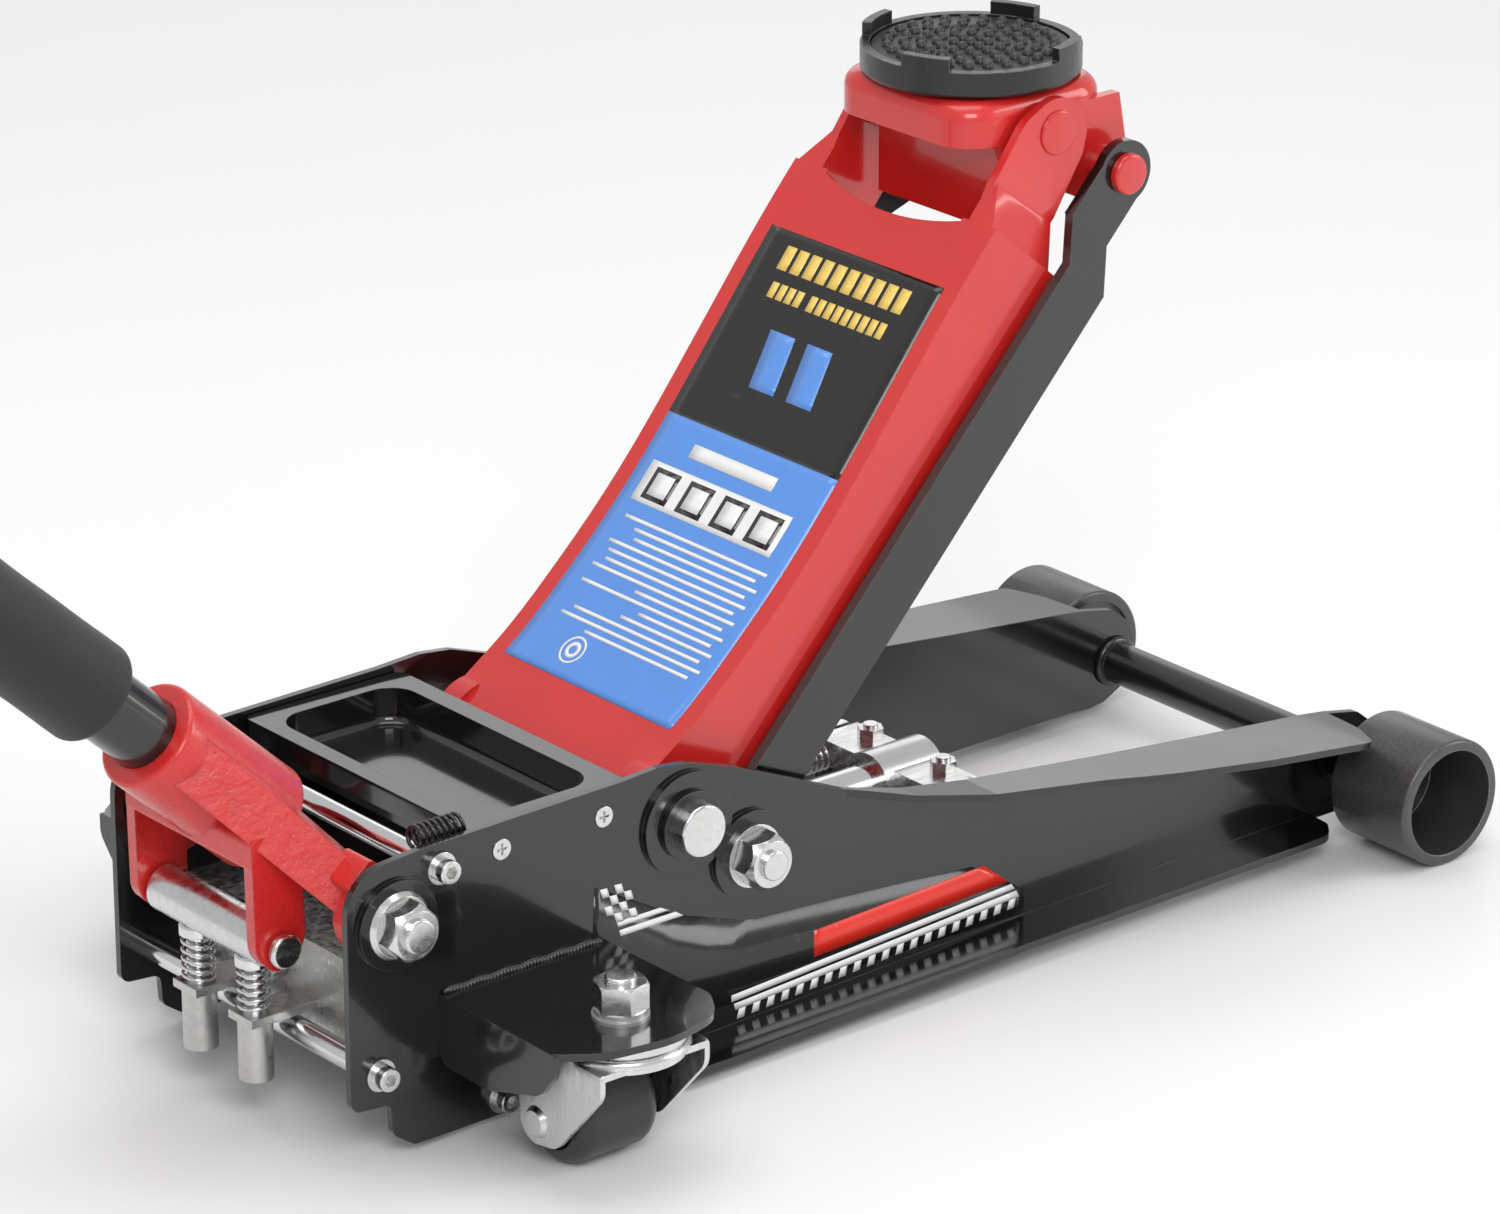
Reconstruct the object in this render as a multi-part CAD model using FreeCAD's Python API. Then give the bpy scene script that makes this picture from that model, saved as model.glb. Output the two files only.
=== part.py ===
import FreeCAD, Part
import math
import os

# Hydraulic floor jack. Millimetres, +Z up, +X toward the saddle and front wheels, +Y to the left.
# All drawing is done from the rear edge of the side plates (x = 0) and moved by SHIFT at export.
SHIFT = 50.956

# frame
WEB_OUT = 101.5
WEB_IN = 97.5
SHEET = 4.0
AXLE_X = 688.0
AXLE_Z = 36.0
AXLE_R = 12.0
STUB_R = 8.0
WHEEL_R = 36.0
WHEEL_IN = 116.5
WHEEL_OUT = 173.5
BOSS_Y = 104.5

# lift linkage
ARM_PIVOT = (211.0, 131.0)
LINK_PIVOT = (252.0, 103.0)
EAR_PIN = (490.0, 430.0)
LINK_PIN = (531.0, 402.0)
SHAFT_R = 14.0
ARM_HALF = 80.0
ARM_T = 5.0
CRANK = (237.2, 74.8)
CRANK_PIN_R = 7.0

# saddle
SADDLE_X = 486.0
SADDLE_TOP = 465.0
SADDLE_R = 58.2

# handle
YOKE_PIVOT = (29.0, 127.0)
ROLLER = (-6.0, 107.0)
HANDLE_TOP = (-71.0, 239.0)
HANDLE_TILT = math.radians(43.18)
HANDLE_DIR = (-math.cos(HANDLE_TILT), math.sin(HANDLE_TILT))
TUBE_R = 19.0
FOAM_R = 27.0

# rear casters
KING = (108.0, 178.0)
PLATE_Z = 82.0
CASTER_TRAIL = 24.0
CASTER_R = 26.0
FORK_HALF = 31.0

# hydraulic unit
RAM_Z = 62.0
CYL_R = 30.0
PLUNGER_X = -2.0
PLUNGER_Y = 24.0


def V(x, y, z):
    return FreeCAD.Vector(x, y, z)


def rounded(points):
    """Closed outline through (u, v, radius) corners; returns (u, v) points and arcs as edges."""
    n = len(points)
    starts, ends, mids = [], [], []
    for i in range(n):
        x, z, r = points[i]
        px, pz, _ = points[i - 1]
        nx, nz, _ = points[(i + 1) % n]
        a = FreeCAD.Vector(px - x, pz - z, 0)
        b = FreeCAD.Vector(nx - x, nz - z, 0)
        la, lb = a.Length, b.Length
        a.normalize()
        b.normalize()
        angle = a.getAngle(b)
        if r <= 0 or angle > 3.10:
            starts.append((x, z))
            ends.append((x, z))
            mids.append(None)
            continue
        cut = min(r / math.tan(angle / 2), 0.48 * la, 0.48 * lb)
        rad = cut * math.tan(angle / 2)
        s = (x + a.x * cut, z + a.y * cut)
        e = (x + b.x * cut, z + b.y * cut)
        m = a + b
        m.normalize()
        reach = rad / math.sin(angle / 2) - rad
        starts.append(s)
        ends.append(e)
        mids.append((x + m.x * reach, z + m.y * reach))
    return starts, ends, mids


def outline(points, place):
    """Wire of the rounded outline; place maps (u, v) to a 3-D point."""
    pts = [(p[0], p[1], p[2] if len(p) > 2 else 0) for p in points]
    starts, ends, mids = rounded(pts)
    edges = []
    n = len(pts)
    for i in range(n):
        if mids[i] is not None:
            edges.append(Part.Arc(place(*starts[i]), place(*mids[i]), place(*ends[i])).toShape())
        j = (i + 1) % n
        p, q = place(*ends[i]), place(*starts[j])
        if (q - p).Length > 1e-5:
            edges.append(Part.makeLine(p, q))
    return Part.Wire(edges)


def prism_xz(points, y0, y1):
    face = Part.Face(outline(points, lambda u, v: V(u, y0, v)))
    return face.extrude(V(0, y1 - y0, 0))


def prism_xy(points, z0, z1):
    face = Part.Face(outline(points, lambda u, v: V(u, v, z0)))
    return face.extrude(V(0, 0, z1 - z0))


def prism_yz(points, x0, x1):
    face = Part.Face(outline(points, lambda u, v: V(x0, u, v)))
    return face.extrude(V(x1 - x0, 0, 0))


def box(x0, x1, y0, y1, z0, z1):
    return Part.makeBox(x1 - x0, y1 - y0, z1 - z0, V(x0, y0, z0))


def cyl_x(y, z, r, x0, x1):
    return Part.makeCylinder(r, x1 - x0, V(x0, y, z), V(1, 0, 0))


def cyl_y(x, z, r, y0, y1):
    return Part.makeCylinder(r, y1 - y0, V(x, y0, z), V(0, 1, 0))


def cyl_z(x, y, r, z0, z1):
    return Part.makeCylinder(r, z1 - z0, V(x, y, z0), V(0, 0, 1))


def cyl_along(s0, s1, r):
    """Cylinder on the handle axis between two distances from its lower reference point."""
    dx, dz = HANDLE_DIR
    base = V(HANDLE_TOP[0] + dx * s0, 0, HANDLE_TOP[1] + dz * s0)
    return Part.makeCylinder(r, s1 - s0, base, V(dx, 0, dz))


def hexagon(x, z, flats, y0, y1, turn=0.0):
    r = flats / math.sqrt(3)
    pts = []
    for i in range(6):
        a = math.radians(60 * i + turn)
        pts.append((x + r * math.cos(a), z + r * math.sin(a)))
    return prism_xz(pts, y0, y1)


def hexagon_z(x, y, flats, z0, z1, turn=0.0):
    r = flats / math.sqrt(3)
    pts = []
    for i in range(6):
        a = math.radians(60 * i + turn)
        pts.append((x + r * math.cos(a), y + r * math.sin(a)))
    return prism_xy(pts, z0, z1)


def fuse(shapes):
    out = shapes[0].multiFuse(shapes[1:]) if len(shapes) > 1 else shapes[0]
    return out.removeSplitter()


def soft(shape, radius, keep):
    """Fillets the edges that keep() picks, and leaves the shape as it is where that fails."""
    edges = [e for e in shape.Edges if keep(e)]
    try:
        out = shape.makeFillet(radius, edges)
        return out if out.isValid() else shape
    except Exception:
        return shape


def mirrored(shape):
    return shape.mirror(V(0, 0, 0), V(0, 1, 0))


def coil(radius, wire, length, turns, base, axis):
    """Spring wire as a chain of half turns, each a tilted half torus that meets the next squarely."""
    rise = length / turns / 2
    reach = math.hypot(radius, rise / 2)
    tilt = math.degrees(math.atan2(rise / 2, radius))
    faces = []
    count = int(2 * turns)
    for k in range(count):
        half = Part.makeTorus(reach, wire, V(0, 0, 0), V(0, 0, 1), -180, 180, 180)
        lean = FreeCAD.Rotation(V(0, 1, 0), tilt)
        turn = FreeCAD.Rotation(V(0, 0, 1), 180 * (k % 2))
        half.Placement = FreeCAD.Placement(V(0, 0, rise * (k + 0.5)), turn.multiply(lean))
        for face in half.Faces:
            flat = "Plane" in str(face.Surface)
            low = abs(face.CenterOfMass.z - rise * k) < rise / 4
            if not flat or (k == 0 and low) or (k == count - 1 and not low):
                faces.append(face)
    shell = Part.makeShell(faces)
    shell.sewShape()
    body = Part.makeSolid(shell)
    body = body if body.Volume > 0 else body.reversed()
    body.Placement = FreeCAD.Placement(base, FreeCAD.Rotation(V(0, 0, 1), axis))
    return body


NODES = {}


def node(name, *shapes):
    NODES[name] = list(shapes)


def pair(name, *shapes):
    """The right-hand (-Y) piece and its mirror image on the left."""
    NODES["right_" + name] = list(shapes)
    NODES["left_" + name] = [mirrored(s) for s in shapes]


def both(*shapes):
    return list(shapes) + [mirrored(s) for s in shapes]


# ---------------------------------------------------------------- side plates
WEB_TOP = [(316, 121), (357, 109.5), (402, 102), (498, 90.5), (571, 82.5), (646, 75), (664, 72.5)]


def side_web():
    pts = [(0, 33, 6), (12, 32, 4), (24, 31, 5), (25, 14, 6), (38, 5, 6), (60, 5), (230, 6, 30)]
    pts += [(420, 11, 30), (655, 12, 20), (680, 12, 8), (696, 20, 10), (705, 38, 14), (700, 57, 14)]
    pts += [(686, 68, 8)]
    pts += [(x, z, 10) for x, z in reversed(WEB_TOP)]
    pts += [(243, 153, 30), (214, 163, 18), (194, 165.5, 20), (168, 164, 60), (45, 162, 30)]
    pts += [(0, 158, 32)]
    return prism_xz(pts, -WEB_OUT, -WEB_IN)


def top_flange():
    """Outward flange along the falling part of the web's top edge."""
    line = [(243, 153, 30)] + [(x, z, 10) for x, z in WEB_TOP] + [(686, 68, 8)]
    under = [(x, z - SHEET, r) for x, z, r in reversed(line)]
    band = prism_xz(line + under, -160, -98)
    plan = [(318, -98), (318, -101.6), (345, -108, 30), (400, -123, 60), (470, -130, 60)]
    plan += [(517, -139, 60), (580, -146, 60), (651, -150, 7), (661, -128, 20), (664, -98)]
    return band.common(prism_xy(plan, 40, 140))


def bottom_flange():
    """Outward flange along the web's bottom edge."""
    plan = [(168, -98), (168, -118, 6), (186, -132, 14), (640, -130, 14), (650, -118, 8)]
    plan += [(652, -98)]
    line = [(60, 5), (230, 6, 30), (420, 11, 30), (655, 12)]
    over = [(p[0], p[1] + SHEET) + p[2:] for p in reversed(line)]
    return prism_xz(line + over, -140, -98).common(prism_xy(plan, 0, 40))


def side_plate():
    body = fuse([side_web(), top_flange(), bottom_flange()])
    bosses = [cyl_y(ARM_PIVOT[0], ARM_PIVOT[1], 28, -BOSS_Y, -WEB_OUT + 0.5),
              cyl_y(LINK_PIVOT[0], LINK_PIVOT[1], 24, -BOSS_Y, -WEB_OUT + 0.5),
              cyl_y(YOKE_PIVOT[0], YOKE_PIVOT[1], 23.5, -BOSS_Y, -WEB_OUT + 0.5)]
    body = fuse([body] + bosses)
    body = body.cut(cyl_y(ARM_PIVOT[0], ARM_PIVOT[1], SHAFT_R, -110, -90))
    body = body.cut(cyl_y(LINK_PIVOT[0], LINK_PIVOT[1], 8, -110, -90))
    body = body.cut(cyl_y(YOKE_PIVOT[0], YOKE_PIVOT[1], 9, -110, -90))
    body = body.cut(cyl_y(AXLE_X, AXLE_Z, AXLE_R, -110, -90))
    for x, z in TIE_RODS:
        body = body.cut(cyl_y(x, z, 4, -110, -90))
    for x in TRAY_SCREWS:
        sink = Part.makeCone(5.5, 3, 2.5, V(x, -WEB_OUT, TRAY_SCREW_Z), V(0, 1, 0))
        body = body.cut(sink.fuse(cyl_y(x, TRAY_SCREW_Z, 3, -WEB_OUT + 2.4, -90)))
    return body


TIE_RODS = [(57.0, 149.0), (17.7, 49.3), (92.0, 15.0)]
TIE_RADII = [6.0, 6.5, 6.0]
TRAY_SCREWS = [94.5, 158.5]
TRAY_SCREW_Z = 148.5


def tie_rod(i):
    x, z = TIE_RODS[i]
    rod = cyl_y(x, z, TIE_RADII[i], -WEB_IN, WEB_IN)
    return rod.cut(Part.makeCompound([cyl_y(x, z, 4, -98, -84), cyl_y(x, z, 4, 84, 98)]))


def tie_screw(i):
    x, z = TIE_RODS[i]
    head = cyl_y(x, z, 6.2, -WEB_OUT - 9.2, -WEB_OUT - 1.6)
    head = soft(head, 0.8, lambda e: abs(e.CenterOfMass.y + WEB_OUT + 9.2) < 0.01)
    head = head.cut(hexagon(x, z, 6, -WEB_OUT - 9.3, -WEB_OUT - 5.0))
    return head.fuse(cyl_y(x, z, 4, -WEB_OUT - 1.6, -84)).removeSplitter()


def tie_washer(i):
    x, z = TIE_RODS[i]
    return cyl_y(x, z, 8.5, -WEB_OUT - 1.6, -WEB_OUT).cut(cyl_y(x, z, 4, -110, -90))


def tray():
    x0, x1, z = 80.0, 180.0, 160.0
    rim = [(x0, -96.5, 5), (x1, -96.5, 5), (x1, 96.5, 5), (x0, 96.5, 5)]
    inner = [(x0 + 10, -84, 16), (x1 - 12, -84, 16), (x1 - 12, 84, 16), (x0 + 10, 84, 16)]
    cavity = [(x0 + 8, -86, 18), (x1 - 10, -86, 18), (x1 - 10, 86, 18), (x0 + 8, 86, 18)]
    sheet = prism_xy(rim, z - 2.5, z)
    pan = prism_xy(cavity, z - 22, z)
    body = sheet.fuse(pan)
    for y in (-96.5, 94.0):
        body = body.fuse(box(x0 + 4, x1 - 4, y, y + 2.5, z - 19, z - 0.5))
    body = body.fuse(box(x0, x0 + 2.5, -92, 92, z - 12, z - 0.5))
    hollow = prism_xy(inner, z - 19.5, z + 1)
    hollow = soft(hollow, 5, lambda e: abs(e.BoundBox.ZMax - (z - 19.5)) < 0.01)
    body = body.cut(hollow)
    holes = [cyl_y(x, TRAY_SCREW_Z, 3, -98, -90) for x in TRAY_SCREWS]
    holes += [cyl_y(x, TRAY_SCREW_Z, 3, 90, 98) for x in TRAY_SCREWS]
    return body.cut(Part.makeCompound(holes)).removeSplitter()


def tray_screw(x):
    head = Part.makeCone(5.5, 3, 2.5, V(x, -WEB_OUT, TRAY_SCREW_Z), V(0, 1, 0))
    dome = cyl_y(x, TRAY_SCREW_Z, 5.5, -WEB_OUT - 0.6, -WEB_OUT)
    body = head.fuse([dome, cyl_y(x, TRAY_SCREW_Z, 3, -WEB_OUT + 2.4, -90)])
    slot = box(x - 3, x + 3, -103, -WEB_OUT + 1, TRAY_SCREW_Z - 0.6, TRAY_SCREW_Z + 0.6)
    slot2 = box(x - 0.6, x + 0.6, -103, -WEB_OUT + 1, TRAY_SCREW_Z - 3, TRAY_SCREW_Z + 3)
    return body.cut(slot).cut(slot2)


def frame_nodes():
    pair("side_plate", side_plate())
    axle = [cyl_y(AXLE_X, AXLE_Z, AXLE_R, -114, 114), cyl_y(AXLE_X, AXLE_Z, STUB_R, -137, 137)]
    body = axle[0].fuse(axle[1])
    groove = cyl_y(AXLE_X, AXLE_Z, 9, -134.4, -133).cut(cyl_y(AXLE_X, AXLE_Z, 7, -135, -132))
    bead = Part.makeTorus(AXLE_R + 0.8, 2.2, V(AXLE_X, -95.8, AXLE_Z), V(0, 1, 0))
    bead = bead.cut(cyl_y(AXLE_X, AXLE_Z, AXLE_R, -110, 110)).cut(box(660, 720, -110, -97.5, 0, 80))
    body = body.cut(groove).cut(mirrored(groove))
    node("front_axle", fuse([body, bead, mirrored(bead)]))
    ring = cyl_y(AXLE_X, AXLE_Z, 11, -134.3, -133.1).cut(cyl_y(AXLE_X, AXLE_Z, 7, -140, -130))
    ring = ring.cut(box(AXLE_X - 2, AXLE_X + 2, -140, -130, 20, AXLE_Z))
    node("retaining_rings", *both(ring, snap_ring()))
    washer = cyl_y(AXLE_X, AXLE_Z, 13, -133, -131.9).cut(cyl_y(AXLE_X, AXLE_Z, STUB_R, -140, -130))
    inner = cyl_y(AXLE_X, AXLE_Z, 14, -116, -114).cut(cyl_y(AXLE_X, AXLE_Z, STUB_R, -120, -110))
    flats = [washer, inner, tie_washer(0), tie_washer(1), tie_washer(2)]
    node("washers_and_spacers", *both(*(flats + [link_spacer(), link_nut()[1]])))
    node("tool_tray", tray())
    node("tray_screws", *both(*[tray_screw(x) for x in TRAY_SCREWS]))
    node("upper_tie_rod", tie_rod(0))
    node("lower_tie_rod", tie_rod(1))
    node("bottom_tie_bar", tie_rod(2))
    node("tie_rod_screws", *both(tie_screw(0), tie_screw(1), tie_screw(2)))


# ---------------------------------------------------------------- front wheels
def front_wheel():
    x, z = AXLE_X, AXLE_Z
    body = cyl_y(x, z, WHEEL_R, -WHEEL_OUT, -WHEEL_IN)
    body = soft(body, 2.0, lambda e: abs(e.BoundBox.YLength) < 0.01)
    recess = Part.makeCone(30, 27, 42, V(x, -WHEEL_OUT, z), V(0, 1, 0))
    body = body.cut(recess)
    back = cyl_y(x, z, 30, -WHEEL_IN - 4, -WHEEL_IN).cut(cyl_y(x, z, 15, -140, -100))
    body = body.cut(back)
    hub = cyl_y(x, z, 14, -WHEEL_OUT + 42.2, -WHEEL_IN)
    body = body.fuse(hub)
    return body.cut(cyl_y(x, z, STUB_R + 0.05, -180, -100)).removeSplitter()


# ---------------------------------------------------------------- rear casters
def caster_bracket():
    z = PLATE_Z
    plan = [(54, -WEB_OUT), (54, -192, 14), (76, -208, 34), (112, -214, 50), (146, -206, 34)]
    plan += [(158, -186, 10), (158, -WEB_OUT)]
    plate = prism_xy(plan, z - SHEET, z)
    rear = [(-WEB_OUT, z), (-WEB_OUT, z - 37, 8), (-140, z - 38, 20), (-182, z - 26, 14)]
    rear += [(-194, z - 12, 10), (-194, z, 2)]
    rear = prism_yz(rear, 54, 54 + SHEET)
    front = [(-WEB_OUT, z), (-WEB_OUT, z - 38, 6), (-150, z - 22, 20), (-178, z - 18, 8)]
    front += [(-188, z, 4)]
    front = prism_yz(front, 154, 158)
    body = fuse([plate, rear, front])
    return body.cut(cyl_z(KING[0], -KING[1], 8, 60, 100))


def caster_nodes():
    x, y = KING[0], -KING[1]
    z = PLATE_Z - SHEET
    pair("caster_bracket", caster_bracket())
    top = cyl_z(x, y, 34, z - 5, z).cut(cyl_z(x, y, 8, 60, 100))
    top = soft(top, 2.0, lambda e: abs(e.BoundBox.ZMax - (z - 5)) < 0.01 and e.Length > 100)
    node("caster_races", *both(top))
    cup = Part.makeTorus(31, 3.6, V(x, y, z - 8.9), V(0, 0, 1))
    base = cyl_z(x, y, 33, z - 13, z - 9.3)
    legs = []
    for sx in (-1, 1):
        out = x + sx * (FORK_HALF + 3)
        inn = x + sx * FORK_HALF
        leg = [(y - 27, z - 9.3, 3), (y - 27, z - 22, 12), (y + CASTER_TRAIL - 15, 16, 14)]
        leg += [(y + CASTER_TRAIL + 12, 12, 14), (y + CASTER_TRAIL + 15, 38, 20), (y + 27, z - 9.3, 3)]
        legs.append(prism_yz(leg, min(out, inn), max(out, inn)))
    deck = box(x - FORK_HALF - 1, x + FORK_HALF + 1, y - 27, y + 27, z - 13, z - 9.3)
    fork = fuse([base, deck] + legs)
    fork = fork.fuse(cup.cut(box(x - 50, x + 50, y - 50, y + 50, z - 30, z - 10)))
    holes = [cyl_z(x, y, 8.05, 40, 100), cyl_x(y + CASTER_TRAIL, CASTER_R, 5, x - 60, x + 60)]
    pair("caster_fork", fork.cut(Part.makeCompound(holes)).removeSplitter())
    bolt = cyl_z(x, y, 8, z - 18, PLATE_Z + 22)
    bolt = soft(bolt, 1.5, lambda e: abs(e.BoundBox.ZMin - PLATE_Z - 22) < 0.01)
    head = hexagon_z(x, y, 24, z - 20, z - 13.4)
    node("caster_kingpins", *both(bolt.fuse(head).removeSplitter()))
    nut = hexagon_z(x, y, 25, PLATE_Z + 5, PLATE_Z + 19, 12)
    cap = Part.makeCone(19.5, 10.5, 9, V(x, y, PLATE_Z + 12.6), V(0, 0, 1))
    nut = nut.common(cyl_z(x, y, 19.5, PLATE_Z + 5, PLATE_Z + 12.6).fuse(cap))
    node("caster_nuts", *both(nut.cut(cyl_z(x, y, 8, 60, 120))))
    rings = [cyl_z(x, y, 13.5, PLATE_Z + 2.2, PLATE_Z + 5), cyl_z(x, y, 14.5, PLATE_Z, PLATE_Z + 2)]
    node("caster_washers", *both(*[r.cut(cyl_z(x, y, 8, 60, 120)) for r in rings]))
    yc, zc = y + CASTER_TRAIL, CASTER_R
    wheel = cyl_x(yc, zc, CASTER_R, x - 25, x + 25)
    wheel = soft(wheel, 9, lambda e: e.BoundBox.XLength < 0.01)
    for sx in (-1, 1):
        face = cyl_x(yc, zc, 17, x + min(sx * 25, sx * 16), x + max(sx * 25, sx * 16))
        wheel = wheel.cut(face.cut(cyl_x(yc, zc, 10, x - 40, x + 40)))
    wheel = wheel.fuse(cyl_x(yc, zc, 10, x - 29, x + 29)).cut(cyl_x(yc, zc, 5.05, x - 50, x + 50))
    pair("caster_wheel", wheel.removeSplitter())
    pin = cyl_x(yc, zc, 5, x - 35, x + 35)
    heads = []
    for sx in (-1, 1):
        at = V(x + sx * 34, yc, zc)
        heads.append(Part.makeCone(8.5, 6.5, 2.6, at, V(sx, 0, 0)))
    pair("caster_axle", pin.fuse(heads).removeSplitter())


# ---------------------------------------------------------------- lift arm
ARM_TOP = [(196, 146), (214, 158), (238, 175), (267, 200), (302, 234), (337, 274), (372, 318),
           (434, 393)]


def arm_curve(offset, y):
    pts = []
    n = len(ARM_TOP)
    for i, (x, z) in enumerate(ARM_TOP):
        a = ARM_TOP[max(i - 1, 0)]
        b = ARM_TOP[min(i + 1, n - 1)]
        dx, dz = b[0] - a[0], b[1] - a[1]
        length = math.hypot(dx, dz)
        pts.append(V(x + offset * dz / length, y, z - offset * dx / length))
    return pts


def arm_band(depth, y0, y1):
    """Solid between the arm's top surface and a parallel surface depth below it."""
    upper, lower = arm_curve(0, y0), arm_curve(depth, y0)
    a, b = Part.BSplineCurve(), Part.BSplineCurve()
    a.interpolate(upper)
    b.interpolate(lower)
    ends = [Part.makeLine(upper[0], lower[0]), Part.makeLine(upper[-1], lower[-1])]
    wire = Part.Wire(Part.__sortEdges__([a.toShape(), b.toShape()] + ends))
    return Part.Face(wire).extrude(V(0, y1 - y0, 0))


def ear():
    """Inset ear that carries the saddle bracket pin."""
    plate = [(446, 410, 4), (468, 440, 20), (492, 452, 20), (512, 436, 20), (508, 416, 16),
             (488, 384, 6), (458, 352, 10), (430, 380, 4)]
    return prism_xz(plate, -64, -58.5)


def lift_arm():
    d = ARM_T
    skin = arm_band(d, -ARM_HALF, ARM_HALF)
    wall = arm_band(58, -ARM_HALF, -ARM_HALF + d)
    lobe = [(180, 118, 20), (184, 158, 12), (246, 178, 10), (292, 168, 20), (268, 118, 20),
            (258, 66, 20), (232, 54, 20), (214, 72, 20)]
    lobe = prism_xz(lobe, -ARM_HALF, -ARM_HALF + d)
    lobe = lobe.common(arm_sector())
    hub = cyl_y(ARM_PIVOT[0], ARM_PIVOT[1], 24, -ARM_HALF, -ARM_HALF + 14)
    pin = cyl_y(CRANK[0], CRANK[1], CRANK_PIN_R, -ARM_HALF + 2, -46)
    side = [wall, lobe, hub, pin, ear(), ear_step()]
    body = fuse([skin] + side + [mirrored(s) for s in side])
    tube = cyl_y(ARM_PIVOT[0], ARM_PIVOT[1], 20, -70, 70)
    body = body.cut(scallop_cut())
    body = body.fuse(tube)
    body = soft_arm_edges(body)
    bores = [cyl_y(ARM_PIVOT[0], ARM_PIVOT[1], SHAFT_R + 0.05, -90, 90),
             cyl_y(EAR_PIN[0], EAR_PIN[1], 9, -70, -50), cyl_y(EAR_PIN[0], EAR_PIN[1], 9, 50, 70)]
    return body.cut(Part.makeCompound(bores)).removeSplitter()


def arm_sector():
    """Keeps the lobe under the arm's top surface."""
    upper = arm_curve(0.5, -90)
    a = Part.BSplineCurve()
    a.interpolate(upper)
    last = upper[-1]
    first = upper[0]
    corner = [V(last.x + 60, -90, last.z), V(last.x + 60, -90, 20), V(150, -90, 20)]
    corner += [V(150, -90, first.z - 6)]
    path = [last] + corner + [first]
    lines = [Part.makeLine(path[i], path[i + 1]) for i in range(len(path) - 1)]
    wire = Part.Wire(Part.__sortEdges__([a.toShape()] + lines))
    return Part.Face(wire).extrude(V(0, 30, 0))


def ear_step():
    """Sloping web between the arm's side wall and the inset ear."""
    low = [(404, 357), (431, 389.5), (470, 357), (440, 321)]
    high = [(428, 386), (449, 411), (486, 383), (462, 353)]
    wires = []
    for pts, y in ((low, -ARM_HALF), (high, -64.0)):
        wires.append(Part.makePolygon([V(x, y, z) for x, z in pts + pts[:1]]))
    return Part.makeLoft(wires, True, True).fuse(prism_xz(high, -64, -58.5))


def scallop_cut():
    """Curved notch in the upper end of the arm's top plate, drawn square to the plate."""
    nx, nz = -0.771, 0.637
    wires = []
    for s in (-30, 30):
        row = [V(470 + nx * s, -54, 436 + nz * s), V(432.7 + nx * s, -54, 391.4 + nz * s),
               V(427 + nx * s, 0, 384.5 + nz * s), V(432.7 + nx * s, 54, 391.4 + nz * s),
               V(470 + nx * s, 54, 436 + nz * s)]
        arc = Part.Arc(row[1], row[2], row[3]).toShape()
        lines = [Part.makeLine(row[i], row[j]) for i, j in ((0, 1), (3, 4), (4, 0))]
        wires.append(Part.Wire(Part.__sortEdges__([arc] + lines)))
    return Part.makeLoft(wires, True, True)


def soft_arm_edges(body):
    """Rounds the long bends between the top plate and the side walls."""
    def long_bend(e):
        b = e.BoundBox
        flat = b.YLength < 0.01 and abs(abs(b.YMin) - ARM_HALF) < 0.01
        return flat and b.XLength > 120 and b.ZMax > 380
    return soft(body, 4.5, long_bend)


def lift_shaft():
    shaft = cyl_y(ARM_PIVOT[0], ARM_PIVOT[1], SHAFT_R, -117, 117)
    shaft = soft(shaft, 1.5, lambda e: abs(abs(e.CenterOfMass.y) - 117) < 0.01)
    return shaft


def snap_ring():
    x, z = ARM_PIVOT
    return cyl_y(x, z, 18.5, -107.5, -BOSS_Y).cut(cyl_y(x, z, SHAFT_R, -110, -100))


def link_bar():
    """Parallel link: flat bar, joggled inward near its upper pin."""
    dx, dz = LINK_PIN[0] - LINK_PIVOT[0], LINK_PIN[1] - LINK_PIVOT[1]
    length = math.hypot(dx, dz)
    h = 16.5
    low = box(0, length - 62, -90, -84, -h, h)
    low = low.fuse(cyl_y(0, 0, h, -90, -84))
    mid = [(length - 62.5, -90), (length - 62.5, -84), (length - 36, -66), (length - 36, -72)]
    mid = prism_xy(mid, -h, h)
    top = box(length - 37, length, -72, -66, -h, h).fuse(cyl_y(length, 0, h + 1, -72, -66))
    bar = fuse([low, mid, top])
    bar = bar.cut(Part.makeCompound([cyl_y(0, 0, 8.05, -95, -80), cyl_y(length, 0, 8.05, -80, -60)]))
    turn = FreeCAD.Rotation(V(0, 1, 0), -math.degrees(math.atan2(dz, dx)))
    bar.Placement = FreeCAD.Placement(V(LINK_PIVOT[0], 0, LINK_PIVOT[1]), turn)
    return bar


def link_bolt():
    x, z = LINK_PIVOT
    body = cyl_y(x, z, 8, -124, -82).fuse(cyl_y(x, z, 12, -83.7, -81.2))
    return soft(body, 1.2, lambda e: abs(e.CenterOfMass.y + 124) < 0.01)


def link_spacer():
    x, z = LINK_PIVOT
    return cyl_y(x, z, 14, -97.4, -90.4).cut(cyl_y(x, z, 8, -100, -80))


def link_nut():
    x, z = LINK_PIVOT
    nut = hexagon(x, z, 27, -121, -107.2, 10)
    cap = Part.makeCone(12.5, 17.5, 7, V(x, -121, z), V(0, 1, 0))
    nut = nut.common(cap.fuse(cyl_y(x, z, 17.5, -114, -107.2)))
    washer = cyl_y(x, z, 17, -107, -BOSS_Y)
    hole = cyl_y(x, z, 8, -130, -100)
    return nut.cut(hole), washer.cut(hole)


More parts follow.
